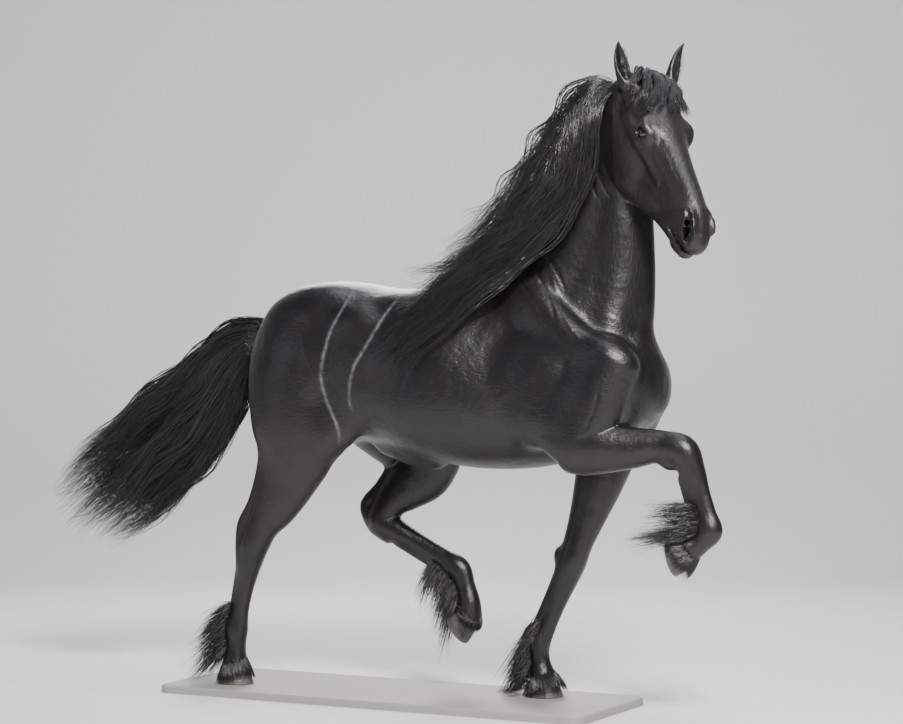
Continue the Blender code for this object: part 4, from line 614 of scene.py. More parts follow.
def mixed(tree, factor, first, second):
    """A colour between two, by a factor that is a socket."""
    made = node(tree, "Mix", data_type="RGBA", Factor=factor)
    for k, value in zip(COLOURS_IN, (first, second)):
        if isinstance(value, tuple):
            made.inputs[k].default_value = (*value, 1.0)
        else:
            tree.links.new(value, made.inputs[k])
    return made.outputs[COLOUR_OUT]

def ranged(tree, value, low, high, to_low=0.0, to_high=1.0):
    return node(tree, "MapRange", Value=value, From_Min=low, From_Max=high, To_Min=to_low,
        To_Max=to_high).outputs["Result"]

def bumped(tree, height, strength, distance, **under):
    return node(tree, "Bump", Height=height, Strength=strength, Distance=distance,
        **under).outputs["Normal"]

def laid_noise(tree, lie, scale, drawn):
    """A noise drawn out along the body, or down it where lie is 1."""
    both = node(tree, "Mix", Factor=lie)
    for k, stretch in zip(NUMBERS_IN, ((drawn, 1, 0.9), (1, 1, drawn))):
        tree.links.new(noise(tree, scale, stretch, 2.0), both.inputs[k])
    return both.outputs["Result"]

COAT_BLACK = (0.0038, 0.0036, 0.0048)
COAT_WARM = (0.017, 0.01, 0.007)
COAT_FACE = (0.022, 0.0175, 0.018)
# Colour of the painted highlight along the lines on the flank and thigh
COAT_PAINTED_HIGHLIGHT = (0.3, 0.29, 0.3)
# Colour of the painted shade inside the nostrils and round the eyes
COAT_PAINTED_SHADE = (0.0015, 0.0012, 0.0012)
HAIR_DARK, HAIR_LIGHT = (0.0075, 0.007, 0.0085), (0.03, 0.027, 0.029)
HORN_DARK, HORN_WORN, HORN_LOW = (0.026, 0.024, 0.024), (0.12, 0.108, 0.098), (0.15, 0.135, 0.118)
PUPIL, IRIS_DARK, IRIS_BROWN = (0.003, 0.003, 0.004), (0.006, 0.004, 0.003), (0.018, 0.01, 0.006)

def coat_material():
    """Short black hair: streaks along its lie, soft undulation, warm parts where marked, a painted
    highlight along pale lines and painted shade in the nostrils and round the eyes.
    """
    made, tree, shader = shader_of("coat")
    # Red carries the painted highlight lines, green the warm tone, blue the tone of the face
    painted_highlight, warm, face = node(tree, "SeparateColor", Color=attribute(tree, "tones_and_painted_highlight", "Color")).outputs
    lie = attribute(tree, "lie")
    fine, locks = laid_noise(tree, lie, 420.0, 0.1), laid_noise(tree, lie, 110.0, 0.3)
    blotch = ranged(tree, noise(tree, 9.0, detail=4.0), 0.42, 0.72, 0.0, 0.35)
    colour = mixed(tree, warm, mixed(tree, blotch, COAT_BLACK, COAT_WARM), COAT_WARM)
    colour = mixed(tree, face, colour, COAT_FACE)
    # The painted highlight lines, broken into patches by a noise
    patchy_highlight = node(tree, "Math", operation="MULTIPLY")
    tree.links.new(painted_highlight, patchy_highlight.inputs[0])
    tree.links.new(ranged(tree, noise(tree, 55.0), 0.3, 0.62, 0.25, 1.0), patchy_highlight.inputs[1])
    colour = mixed(tree, patchy_highlight.outputs[0], colour, COAT_PAINTED_HIGHLIGHT)
    # Painted shade inside the nostrils and round the eyes
    colour = mixed(tree, attribute(tree, "painted_shade"), colour, COAT_PAINTED_SHADE)
    soft = bumped(tree, noise(tree, 13.0), 0.4, 0.012)
    tufted = bumped(tree, locks, 0.32, 0.0045, Normal=soft)
    put(tree, shader, Base_Color=colour, Normal=bumped(tree, fine, 0.45, 0.0016, Normal=tufted),
        Roughness=0.38, Specular_IOR_Level=0.5, Sheen_Weight=0.06, Sheen_Roughness=0.35,
        Sheen_Tint=(0.72, 0.7, 0.8, 1.0))
    return made

def hair_material():
    """Long black hair, a little different from strand to strand."""
    made, tree, shader = shader_of("hair")
    colour = mixed(tree, attribute(tree, "shade"), HAIR_DARK, HAIR_LIGHT)
    put(tree, shader, Base_Color=colour, Roughness=0.3, Specular_IOR_Level=0.72)
    return made

def hoof_material():
    """Dark horn, worn in patches and paler toward the ground, with its grain upright."""
    made, tree, shader = shader_of("hoof")
    worn = ranged(tree, noise(tree, 38.0, (1, 1, 0.35), 5.0), 0.45, 0.75)
    low = ranged(tree, attribute(tree, "height"), 0.3, 0.0, 0.0, 0.55)
    colour = mixed(tree, low, mixed(tree, worn, HORN_DARK, HORN_WORN), HORN_LOW)
    grain = noise(tree, 190.0, (1, 1, 0.12), 2.0)
    put(tree, shader, Base_Color=colour, Normal=bumped(tree, grain, 0.35, 0.001), Roughness=0.48)
    return made

def eye_material():
    """A dark brown iris with a long pupil, wet all over."""
    made, tree, shader = shader_of("eye")
    brown = mixed(tree, noise(tree, 300.0), IRIS_DARK, IRIS_BROWN)
    put(tree, shader, Base_Color=mixed(tree, attribute(tree, "iris"), PUPIL, brown), Roughness=0.1,
        Coat_Weight=1.0, Coat_Roughness=0.03)
    return made

def plain_material(name, colour, rough):
    made, tree, shader = shader_of(name)
    put(tree, shader, Base_Color=(*colour, 1.0), Roughness=rough)
    return made

# Meshes

def mesh_of(name, points, faces, material):
    """A piece from points in the modelling axes and faces all with the same number of corners."""
    points, faces = np.asarray(points, float), np.asarray(faces, np.int32)
    mesh = bpy.data.meshes.new(name)
    sides = faces.shape[1]
    mesh.vertices.add(len(points))
    mesh.vertices.foreach_set("co", (points + MOVE).astype(np.float32).ravel())
    mesh.loops.add(faces.size)
    mesh.loops.foreach_set("vertex_index", faces.ravel())
    mesh.polygons.add(len(faces))
    mesh.polygons.foreach_set("loop_start", np.arange(len(faces), dtype=np.int32) * sides)
    mesh.update(calc_edges=True)
    mesh.polygons.foreach_set("use_smooth", np.ones(len(faces), bool))
    mesh.materials.append(material)
    obj = bpy.data.objects.new(name, mesh)
    bpy.context.scene.collection.objects.link(obj)
    return obj

def mark(obj, name, values):
    obj.data.attributes.new(name, "FLOAT", "POINT").data.foreach_set("value",
        np.asarray(values, np.float32))

def belongs(obj, slot, *nodes):
    """The piece rides the one body and stands for these CAD nodes, which it hides; slot is not used."""
    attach(obj, "root")
    if nodes:
        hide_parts(*nodes)

# Skin

# Grid lines: fine over the head, coarser over the body
FINE, COARSE = 0.0034, 0.0074

def sampled_body():
    field = Field(spaced(-1.5, 0.69, 1.16, 1.25, FINE, COARSE),
        spaced(-0.42, -0.34, 0.06, 0.4, FINE, COARSE), spaced(-0.03, 1.86, 2.46, 2.5, FINE, COARSE))
    body(field)
    lids(field)
    nostrils(field)
    field.values += COAT_DEPTH
    return field

def lids(field):
    """The opening between the lids and the rims round it."""
    place = head_place()
    tilt = math.radians(37)
    for s in SIDES:
        opening = (EYE[0], s * (EYE[1] + 0.014), EYE[2])
        ball(field, opening, (0.025, 0.03, 0.016), 0.003, ((0.8, 0.0, 0.6),), 0.06, place)
        rows = []
        for k in range(19):
            angle = 2 * math.pi * k / 18
            u, w = 0.0255 * math.cos(angle), 0.0165 * math.sin(angle)
            lean = math.sqrt(max(0.027 ** 2 - u * u - w * w, 0.0001))
            rows.append((EYE[0] + u * math.cos(tilt) - w * math.sin(tilt), s * (EYE[1] + lean),
                EYE[2] + u * math.sin(tilt) + w * math.cos(tilt), 0.0034, 0.0034))
        for a, b in zip(rows, rows[1:]):
            chain(field, [a, b], 0.003, place=place)

def nostrils(field):
    """The flared front of each nostril, with passages that run up into the nose and stay dark."""
    place = head_place()
    for s in SIDES:
        chain(field, [(0.664, s * 0.045, -0.07, 0.012, 0.011), (0.65, s * 0.05, -0.053, 0.014, 0.014),
            (0.628, s * 0.05, -0.04, 0.012, 0.011), (0.604, s * 0.046, -0.03, 0.008, 0.007)], 0.004,
            place=place, carve=0.02)
        for u, y, w, r in ((0.664, 0.048, -0.078, 0.01), (0.652, 0.051, -0.06, 0.0125),
                (0.63, 0.051, -0.045, 0.0095)):
            chain(field, [(u + 0.004, s * (y + 0.003), w + 0.006, r, r),
                (u - 0.045, s * (y - 0.028), w - 0.042, r * 0.8, r * 0.8)], 0.003, place=place, carve=0.2)

def smoothed(points, faces, rounds=2, share=0.5):
    """Points drawn toward the middle of their neighbours, to take the grid's steps out."""
    pairs = np.concatenate([faces[:, [k, (k + 1) % 4]] for k in range(4)])
    for _ in range(rounds):
        total = np.zeros_like(points)
        count = np.zeros(len(points))
        for a, b in (pairs.T, pairs.T[::-1]):
            for axis in range(3):
                total[:, axis] += np.bincount(a, points[b, axis], len(points))
            count += np.bincount(a, minlength=len(points))
        points = points + (total / count[:, None] - points) * share
    return points

# Lines that the photo shows on the near side, in its pixels: veins stand out, folds sink in
VEINS = {"cheek": [(652, 172), (661, 180), (669, 187), (674, 204)],
    "nose": [(672, 190), (680, 203), (686, 214)], "face": [(664, 150), (670, 166), (678, 182)],
    "breast": [(598, 314), (614, 319), (624, 325), (636, 329)],
    "shoulder": [(549, 269), (558, 296), (571, 329), (592, 347), (616, 359)],
    "forearm": [(628, 400), (640, 415), (655, 424)], "thigh": [(300, 330), (306, 356), (318, 382)]}
FOLDS = {"jowl": [(603, 158), (607, 172), (613, 184), (623, 196), (635, 204), (646, 218)],
    "throat": [(596, 150), (598, 172), (604, 188), (612, 200)],
    "neck": [(590, 160), (592, 182), (598, 200)],
    "shoulder first": [(508, 269), (520, 281), (532, 300), (540, 322)],
    "shoulder second": [(528, 262), (541, 281), (551, 304), (556, 326)],
    "shoulder third": [(545, 255), (556, 270), (566, 292)], "elbow": [(600, 385), (594, 410), (584, 432)],
    "flank": [(352, 372), (347, 395), (349, 418)],
    "mouth": [(664, 232), (668, 236), (676, 240), (686, 243)]}
# Lines on the flank and thigh, in the same pixels, painted pale as a highlight over a low ridge
PAINTED_HIGHLIGHT_LINES = {"thigh": [(357, 285), (343, 308), (330, 333), (321, 370), (325, 396), (337, 426), (340, 447)],
    "flank": [(405, 290), (385, 315), (366, 346), (352, 372), (349, 400), (353, 412)]}

def sight(pixel):
    """Direction in which the photo's camera sees a pixel."""
    return unit(FORWARD * FOCAL + SIDEWAYS * (pixel[0] - PHOTO_WIDE / 2) + UPWARD
        * (PHOTO_HIGH / 2 - pixel[1]))

def traced(tree, pixels, steps=7):
    """A line in the photo laid on the skin."""
    pixels = np.array(pixels, float)
    keys = np.arange(len(pixels))
    found = []
    for pixel in hermite(keys, pixels, np.linspace(0, len(pixels) - 1, (len(pixels) - 1) * steps + 1)):
        hit = tree.ray_cast(Vector(CAMERA_AT), Vector(sight(pixel)))[0]
        if hit is not None:
            found.append(hit[:])
    return np.array(found)

def nearness(points, line, width):
    """1 on the line, falling to 0 a few widths off, and less toward the line's two ends."""
    near = np.zeros(len(points))
    if len(line) < 2:
        return near
    reach = 3 * width
    inside = np.all((points > line.min(0) - reach) & (points < line.max(0) + reach), axis=1)
    some = points[inside]
    best = np.full(len(some), 9.0)
    fade = np.zeros(len(some))
    for k, (a, b) in enumerate(zip(line, line[1:])):
        step = b - a
        t = np.clip((some - a) @ step / max(step @ step, 1e-9), 0, 1)
        away = length_of(some - a - t[:, None] * step)[:, 0]
        closer = away < best
        best[closer] = away[closer]
        fade[closer] = ((k + t) / (len(line) - 1))[closer]
    near[inside] = np.exp(-(best / width) ** 2) * np.clip(6 * fade, 0, 1) * np.clip(6 * (1 - fade), 0, 1)
    return near

def smooth_step(value, low, high):
    t = np.clip((value - low) / (high - low), 0, 1)
    return t * t * (3 - 2 * t)

def skin(field, clear, coat):
    points, faces = surface_net(field)
    points = smoothed(points, faces)
    tree = BVHTree.FromPolygons(points.tolist(), faces.tolist())
    normals = clear.slope(points, 0.006)
    relief = np.zeros(len(points))
    for lines, width, height in ((VEINS, 0.005, 0.0015), (FOLDS, 0.006, -0.0024)):
        for pixels in lines.values():
            relief += nearness(points, traced(tree, pixels), width) * height
    # Painted highlight along the pale lines on the flank and thigh, with a low ridge raised under it
    painted_highlight = np.zeros(len(points))
    for pixels in PAINTED_HIGHLIGHT_LINES.values():
        painted_highlight = np.maximum(painted_highlight, nearness(points, traced(tree, pixels), 0.0055))
    relief += painted_highlight * 0.0012
    points = points + normals * relief[:, None]
    x, y, z = points.T
    place = head_place()
    local = (points - place.origin) @ place.axes.T / place.scale
    on_head = smooth_step(local[:, 0], -0.02, 0.1) * (z > 1.8) * (x > 0.68)
    muzzle = smooth_step(local[:, 0], 0.46, 0.64) * (z > 1.6) * (x > 0.8)
    haunch = smooth_step(-x, 0.25, 0.6) * smooth_step(-z, -1.2, -0.85) * smooth_step(z, 0.45, 0.75)
    forearm = smooth_step(x, 0.35, 0.6) * smooth_step(-z, -1.05, -0.85) * smooth_step(z, 0.3, 0.6)
    # Red: the painted highlight lines; green: the warm tone on haunch and forearm; blue: the tone of the
    # face
    colours = np.stack([painted_highlight * 0.42, np.clip(haunch * 0.55 + forearm * 0.3, 0, 1),
        np.clip(on_head * 0.45 + muzzle * 0.45, 0, 1), np.ones(len(points))], 1)
    obj = mesh_of("skin", points, faces, coat)
    layer = obj.data.color_attributes.new("tones_and_painted_highlight", "FLOAT_COLOR", "POINT")
    layer.data.foreach_set("color", colours.astype(np.float32).ravel())
    # Painted shade inside the nostril passages, and a little weaker round each eye opening
    painted_shade = np.zeros(len(points))
    for s, rows in NOSTRIL.items():
        inside = smooth_step(-s * local[:, 1], -0.06, -0.046)
        painted_shade = np.maximum(painted_shade, inside * (nearness(points, place(np.array(rows)[:, :3]), 0.026) > 0.4))
        off = local - (EYE[0], s * EYE[1], EYE[2])
        painted_shade = np.maximum(painted_shade, 0.85 * smooth_step(-length_of(off)[:, 0], -0.04, -0.028))
    mark(obj, "painted_shade", painted_shade)
    upright = np.maximum(smooth_step(-z, -1.05, -0.85),
        smooth_step(x, 0.45, 0.7) * smooth_step(z, 1.35, 1.6))
    mark(obj, "lie", upright)
    belongs(obj, "coat", *FLESH)

FLESH = ["head", "ear_left", "ear_right", "neck", "torso", "tail"]
FLESH += [leg + part for leg in HOOVES for part in ("_upper", "_lower")]

# Eyes and hooves

def closed(rings, ends):
    """Points and triangles of a stack of rings, shut by a point at each end."""
    count, around = rings.shape[:2]
    i = np.arange(around)
    j = (i + 1) % around
    last = (count - 1) * around
    faces = [np.stack([j, i, np.full(around, last + around)], 1)]
    for a in range(0, last, around):
        b = a + around
        faces += [np.stack([a + i, a + j, b + j], 1), np.stack([a + i, b + j, b + i], 1)]
    faces.append(np.stack([last + i, last + j, np.full(around, last + around + 1)], 1))
    return np.concatenate([rings.reshape(-1, 3), ends]), np.concatenate(faces)

def eyeball(side, label, material, around=40, rings=28):
    """An eyeball whose pole looks out of the head, with the iris marked round a long pupil."""
    place = head_place()
    centre = place([[EYE[0], side * EYE[1], EYE[2]]])[0]
    radius = (EYE_RADIUS - EYE_SLACK) * HEAD_SCALE
    axis = unit(place.turn([0.05, side * 1.0, 0.1]))
    level = unit(np.cross(axis, (0.0, 0.0, 1.0)))
    rise = np.cross(level, axis)
    polar = (math.pi * np.arange(1, rings) / rings)[:, None, None]
    angle = (2 * math.pi * np.arange(around) / around)[:, None]
    bulge = 1.0 + 0.03 * np.exp(-(polar / 0.6) ** 2)
    outward = axis * np.cos(polar) + np.sin(polar) * (level * np.cos(angle) + rise * np.sin(angle))
    pupil = np.hypot(np.cos(angle) / 0.42, np.sin(angle) / 0.24) * np.sin(polar)
    iris = (pupil > 1) & (polar < 0.85)
    ends = [centre + axis * radius * 1.03, centre - axis * radius]
    points, faces = closed(centre + radius * bulge * outward, ends)
    obj = mesh_of("eyeball_" + label, points, faces[:, ::-1], material)
    mark(obj, "iris", [*iris.ravel(), 0, 0])
    belongs(obj, "eye", "eye_" + label)

def hoof_axes(name):
    centre, toe = HOOVES[name]
    toe = unit(toe)
    left = np.array([0.0, 1.0, 0.0])
    return Place(centre, np.array([toe, left, np.cross(toe, left)]))

def hoof(name, material, around=72, levels=30):
    """The wall in fine growth rings, a dished sole and a soft coronet."""
    lift = CORONET[1] - 0.0005
    high = np.linspace(0, 1, levels)[:, None, None]
    angle = 2 * math.pi * np.arange(around) / around
    c, s, none = np.cos(angle), np.sin(angle), np.zeros(around)
    ripple = 0.0006 * np.sin(high * 44) * (1 - high)
    swell = (0.975 + 0.025 * np.minimum(1.0, high * 12)) * (1 + 0.05 * np.exp(-((1 - high) / 0.1) ** 2))
    heel = 1 - 0.07 * np.exp(-((angle - math.pi) / 0.22) ** 2)
    sole = np.stack([np.where(c > 0, 0.082, 0.062 * heel) * c, 0.068 * s, none], 1)
    top = np.stack([CORONET[0] + 0.056 * c * math.cos(CORONET_TILT), 0.053 * s,
        lift + 0.056 * c * math.sin(CORONET_TILT)], 1)
    wall = sole + (top - sole) * high
    middle = wall * (0, 0, 1) + high * (CORONET[0], 0, 0)
    rings = middle + (wall - middle) * swell + np.stack([c, s, none], 1) * ripple
    under = [rings[0] * (share, share, 0) + (0, 0, dish) for share,
        dish in ((0.45, 0.007), (0.84, 0.004), (0.9, 0.0))]
    centre = rings[-1].mean(0)
    over = centre + (rings[-1] - centre) * 0.8 + (0, 0, 0.004)
    rings = np.concatenate([under, rings, [over]])
    points, faces = closed(rings, [rings[0].mean(0), over.mean(0)])
    heights = np.repeat([0.0] * len(under) + [*high.ravel(), 1.0], around)
    obj = mesh_of("hoof_wall_" + name, hoof_axes(name)(points), faces, material)
    mark(obj, "height", [*heights, 0.0, 1.0])
    belongs(obj, "hoof", "hoof_" + name)

# Strands

# Radians in one turn of a wave
ROUND = 6.28

def resampled(guide, count):
    """Points evenly along a guide."""
    guide = np.array(guide, float)
    keys = np.concatenate([[0], np.cumsum(np.linalg.norm(np.diff(guide, axis=0), axis=1))])
    return hermite(keys / keys[-1], guide, np.linspace(0, 1, count))

def fan(guides, a, count):
    """One path for each a, from 0 at the first guide to 1 at the last."""
    paths = np.array([resampled(g, count) for g in guides])
    at = np.clip(a, 0, 1) * (len(guides) - 1)
    k = np.minimum(at.astype(int), len(guides) - 2)
    share = (at - k)[:, None, None]
    return paths[k] * (1 - share) + paths[k + 1] * share

def across(paths, face):
    """Two directions across each path: along its flat, and out of it toward face."""
    way = units(np.gradient(paths, axis=1))
    side = units(np.cross(way, np.broadcast_to(face, way.shape)))
    return side, np.cross(side, way)

def locks_of(centres, each, radius, close, wave, turns, frizz, face, chance):
    """Strands round each lock's middle path: drawn together to the tip, waved as one, each frizzed."""
    locks, steps = centres.shape[:2]
    t = np.linspace(0, 1, steps)
    side, out = across(centres, face)
    phase = chance.uniform(0, ROUND, (locks, 2, 1))
    rate = chance.uniform(0.8, 1.2, (locks, 1, 1)) * turns * ROUND
    swing = np.sin(phase + rate * t) * np.minimum(1, t * 4) * wave * chance.uniform(0.6, 1.3, (locks, 1, 1))
    centres = centres + side * swing[:, 0, :, None] + out * swing[:, 1, :, None] * 0.6
    paths, side, out = (np.repeat(a, each, axis=0) for a in (centres, side, out))
    count = len(paths)
    angle = chance.uniform(0, ROUND, (count, 1))
    far = np.sqrt(chance.uniform(0, 1, (count, 1))) * radius * (1 - close * t ** 1.4)
    paths = paths + side * (far * np.cos(angle))[..., None] + out * (far * np.sin(angle) * 0.55)[..., None]
    for direction, share in ((side, 1.0), (out, 0.7)):
        for octave in (1.0, 2.3):
            ripple = np.sin(chance.uniform(0, ROUND, (count, 1)) + octave * turns * ROUND
                * chance.uniform(0.8, 1.25, (count, 1)) * t)
            loose = chance.uniform(0.3, 1.0, (count, 1)) + 3.0 * (chance.uniform(0, 1, (count, 1)) < 0.06)
            paths = paths + direction * (ripple * frizz * share / octave * loose * (0.25 + t)
                * np.minimum(1, t * 5))[..., None]
    return paths

def shortened(paths, least, most, chance):
    """The paths cut to a random share of their length."""
    steps = paths.shape[1]
    share = chance.uniform(least, most, len(paths))
    at = share[:, None] * np.linspace(0, steps - 1, steps)
    k = np.minimum(at.astype(int), steps - 2)
    rows = np.arange(len(paths))[:, None]
    part = (at - k)[..., None]
    return paths[rows, k] * (1 - part) + paths[rows, k + 1] * part

def kept_off(paths, clear, least, first=2, floor=0.012):
    """The paths from their second point on kept this far from the skin and the base."""
    count, steps = paths.shape[:2]
    least = np.broadcast_to(np.asarray(least, float).reshape(-1, 1), (count, steps))[:, first:]
    part = clear.push(paths[:, first:].reshape(-1, 3), least.ravel())
    part[:, 2] = np.maximum(part[:, 2], floor)
    kept = paths.copy()
    kept[:, first:] = part.reshape(count, steps - first, 3)
    middle = (kept[:, 1:-1] * 2 + kept[:, :-2] + kept[:, 2:]) / 4
    kept[:, first:-1] = middle[:, first - 1:]
    return kept

def rooted(paths, clear, depth):
    """The paths started from under the skin below their first point, with a little lift over it."""
    foot = clear.drop(paths[:, 0])
    way = clear.slope(foot)
    paths = paths.copy()
    paths[:, 0] = foot - way * depth
    paths[:, 1] = foot * 0.7 + paths[:, 1] * 0.3 + way * depth / 2
    return paths

def strands(name, paths, wide, thick, face, chance, material, slot, axis):
    """Three-sided tapered strands as one piece, each with a patch of the unwrap at its root."""
    count, steps = paths.shape[:2]
    t = np.linspace(0, 1, steps)
    turned = np.asarray(face, float) + chance.normal(0, 0.45, (count, 1, 3))
    side, out = across(paths, turned)
    taper = (np.minimum(1, 0.45 + 4 * t) * (1 - 0.92 * t ** 2.5))[None, :, None]
    broad = chance.uniform(0.7, 1.25, (count, 1, 1)) * taper * wide / 2
    high = taper * thick / 2
    corners = np.stack([paths + side * broad - out * high, paths - side * broad - out * high,
        paths + out * high], 2)
    points = corners.reshape(-1, 3)
    ring = np.arange(steps - 1)[:, None] * 3
    k = np.arange(3)[None]
    n = (k + 1) % 3
    quads = np.stack([ring + k, ring + n, ring + 3 + n, ring + 3 + k], -1).reshape(-1, 4)
    one = np.concatenate([quads[:, [0, 1, 2]], quads[:, [0, 2, 3]], [[0, 2, 1]],
        [[3 * steps - 3, 3 * steps - 2, 3 * steps - 1]]])
    faces = (one[None] + (np.arange(count) * steps * 3)[:, None, None]).reshape(-1, 3)
    obj = mesh_of(name, points, faces, material)
    mark(obj, "shade", np.repeat(chance.uniform(0, 1, count) ** 2, steps * 3))
    patch = np.stack(np.broadcast_arrays(t[None, :, None] * UV_PATCH,
        np.arange(3)[None, None] / 2 * UV_PATCH), -1)
    place = unwrapped(paths[:, 0], *axis)[:, None, None] + patch
    layer = obj.data.uv_layers.new(name="OFBake")
    layer.data.foreach_set("uv", place.reshape(-1, 2)[faces.ravel()].astype(np.float32).ravel())
    belongs(obj, slot)

# Size of a strand's patch on the unwrap
UV_PATCH = 0.003
# Width of a strand of the mane, forelock and tail
LONG_HAIR = 0.0034

# Height over the base below which no short tuft hangs
TUFT_FLOOR = 0.003

# Points along each short tuft, few enough to keep the whole model under 2 million triangles
TUFT_POINTS = 5

def unwrapped(points, start, end):
    """The skin opened out round a line: along it, and the angle round it."""
    start, way = np.array(start, float), np.array(end, float) - np.array(start, float)
    along = (points - start) @ way / (way @ way)
    first = unit(np.cross(way, (0.0, 1.0, 0.02)))
    second = unit(np.cross(way, first))
    off = points - start - along[:, None] * way
    angle = np.arctan2(off @ second, off @ first) / (2 * math.pi) + 0.5
    return np.stack([0.02 + 0.9 * np.clip(along, 0, 1), 0.02 + 0.94 * angle], 1)

# Guides of the mane's inner layer, rooted along the crest from the poll to the withers and blown back
MANE_UNDER = [[(0.64, -0.03, 2.265), (0.58, -0.06, 2.34), (0.47, -0.08, 2.28), (0.37, -0.08, 2.17),
    (0.29, -0.08, 2.06), (0.22, -0.09, 1.96), (0.12, -0.1, 1.88), (0.02, -0.12, 1.82)],
    [(0.52, -0.01, 2.13), (0.47, -0.1, 2.14), (0.4, -0.11, 2.07), (0.33, -0.12, 1.98), (0.27, -0.13, 1.88),
    (0.16, -0.14, 1.79), (0.05, -0.15, 1.73), (-0.03, -0.16, 1.68)],
    [(0.46, -0.02, 2.04), (0.42, -0.12, 2.0), (0.36, -0.13, 1.9), (0.28, -0.15, 1.79), (0.17, -0.17, 1.7),
    (0.03, -0.19, 1.64), (-0.1, -0.2, 1.62), (-0.21, -0.2, 1.65)],
    [(0.41, -0.03, 1.94), (0.38, -0.13, 1.88), (0.3, -0.15, 1.77), (0.21, -0.19, 1.66), (0.1, -0.23, 1.57),
    (-0.03, -0.26, 1.48), (-0.15, -0.29, 1.36), (-0.24, -0.31, 1.22)],
    [(0.35, -0.03, 1.8), (0.28, -0.12, 1.74), (0.2, -0.18, 1.63), (0.11, -0.23, 1.52), (0.02, -0.27, 1.41),
    (-0.11, -0.32, 1.24), (-0.21, -0.34, 1.08)]]
# Guides of its outer layer, from the poll down beside the throat and then back over the shoulder
MANE_OVER = [[(0.5, 0.035, 2.06), (0.5, -0.11, 2.13), (0.48, -0.15, 2.0), (0.41, -0.16, 1.88),
    (0.31, -0.17, 1.77), (0.19, -0.19, 1.68), (0.06, -0.22, 1.6), (-0.06, -0.24, 1.54),
    (-0.16, -0.26, 1.47)], [(0.57, 0.02, 2.16), (0.56, -0.14, 2.16), (0.55, -0.17, 1.99),
    (0.48, -0.18, 1.85), (0.36, -0.2, 1.72), (0.23, -0.23, 1.62), (0.1, -0.26, 1.52), (-0.01, -0.29, 1.42),
    (-0.1, -0.31, 1.31)], [(0.68, -0.06, 2.27), (0.65, -0.17, 2.22), (0.62, -0.2, 2.02),
    (0.58, -0.21, 1.86), (0.47, -0.23, 1.7), (0.3, -0.26, 1.57), (0.13, -0.29, 1.42), (-0.02, -0.32, 1.27),
    (-0.13, -0.34, 1.08)]]
# Guides of the tail, x and z, from the top of the dock to its underside
TAIL = [[(-0.9, 1.42), (-1.02, 1.43), (-1.12, 1.39), (-1.22, 1.32), (-1.47, 1.16), (-1.62, 1.06),
    (-1.84, 0.89), (-1.97, 0.77)], [(-0.96, 1.38), (-1.05, 1.37), (-1.15, 1.27), (-1.3, 1.14), (-1.47, 1.0),
    (-1.65, 0.85), (-1.83, 0.72), (-1.96, 0.66)],
    [(-0.96, 1.34), (-1.03, 1.26), (-1.12, 1.13), (-1.25, 1.0), (-1.4, 0.87), (-1.57, 0.74), (-1.73, 0.63),
    (-1.86, 0.56)], [(-0.94, 1.33), (-0.99, 1.18), (-1.05, 1.04), (-1.13, 0.92), (-1.26, 0.79),
    (-1.4, 0.67), (-1.55, 0.56), (-1.7, 0.49)]]
# Guides of the forelock, from the near ear to the far one
FORELOCK = [[(0.77, -0.085, 2.32), (0.775, -0.15, 2.315), (0.775, -0.205, 2.26), (0.755, -0.215, 2.18)],
    [(0.78, -0.08, 2.325), (0.815, -0.145, 2.31), (0.83, -0.205, 2.24), (0.8, -0.235, 2.15)],
    [(0.79, -0.07, 2.32), (0.85, -0.12, 2.295), (0.88, -0.175, 2.21), (0.86, -0.215, 2.12)],
    [(0.8, -0.065, 2.315), (0.87, -0.085, 2.28), (0.91, -0.125, 2.2), (0.91, -0.17, 2.11)],
    [(0.815, -0.055, 2.3), (0.88, -0.04, 2.26), (0.915, -0.06, 2.2), (0.935, -0.09, 2.12)]]
# Feathers: roots down the back of each lower leg, the way they stand out, and the way they fall or blow
FEATHERS = {"hind_right": ([(-0.945, -0.127, 0.33), (-0.965, -0.123, 0.25), (-0.975, -0.12, 0.19),
    (-0.97, -0.119, 0.13)], (-1.0, 0.0, -0.15), (-0.35, 0, -1.0)),
    "fore_left": ([(0.29, 0.13, 0.31), (0.262, 0.124, 0.24), (0.25, 0.121, 0.19), (0.252, 0.12, 0.13)],
    (-0.75, 0.0, -0.65), (-0.2, 0, -1.0)),
    "hind_left": ([(-0.19, 0.133, 0.515), (-0.12, 0.13, 0.47), (-0.085, 0.128, 0.43),
    (-0.066, 0.126, 0.365)], (-0.75, 0.0, -0.65), (0.1, 0, -1.0)),
    "fore_right": ([(1.04, -0.17, 0.755), (1.058, -0.17, 0.7), (1.045, -0.169, 0.655),
    (1.015, -0.168, 0.628)], (-1.0, 0.0, 0.25), (-0.9, 0, -0.4))}

def laid(name, clear, centres, each, bunch, cut, depth, off, face, chance, base=0.0, thick=0.0014, **piece):
    """Long hair as one piece: locks round the middle paths, cut, rooted in the skin and kept off it."""
    paths = shortened(locks_of(centres, each, *bunch, face, chance), *cut, chance)
    lift = base + chance.uniform(*off, len(paths))
    paths = kept_off(rooted(paths, clear, depth), clear, lift)
    strands(name, paths, LONG_HAIR, thick, face, chance, **piece)

def mane(clear, material, piece, locks=52, each=26, steps=24):
    """One half of the mane; every lock lies between an inner and an outer guide."""
    chance = np.random.default_rng(40 + piece)
    root = (np.arange(locks) + chance.uniform(0, 1, locks)) / locks
    layer = chance.uniform(0, 1, locks) ** 0.9
    inner, outer = fan(MANE_UNDER, root, steps), fan(MANE_OVER, 1 - root, steps)
    centres = inner * (1 - layer)[:, None, None] + outer * layer[:, None, None]
    laid("mane_" + "ab"[piece], clear, centres, each, (0.042, 0.4, 0.02, 4.8, 0.007), (0.74, 1.0), 0.012,
        (0, 0.014), np.array([0.1, -1.0, 0.25]), chance, np.repeat(0.004 + 0.04 * layer, each),
        material=material, slot="coat", axis=((0.74, -0.09, 2.22), (0.35, 0.0, 1.6)))

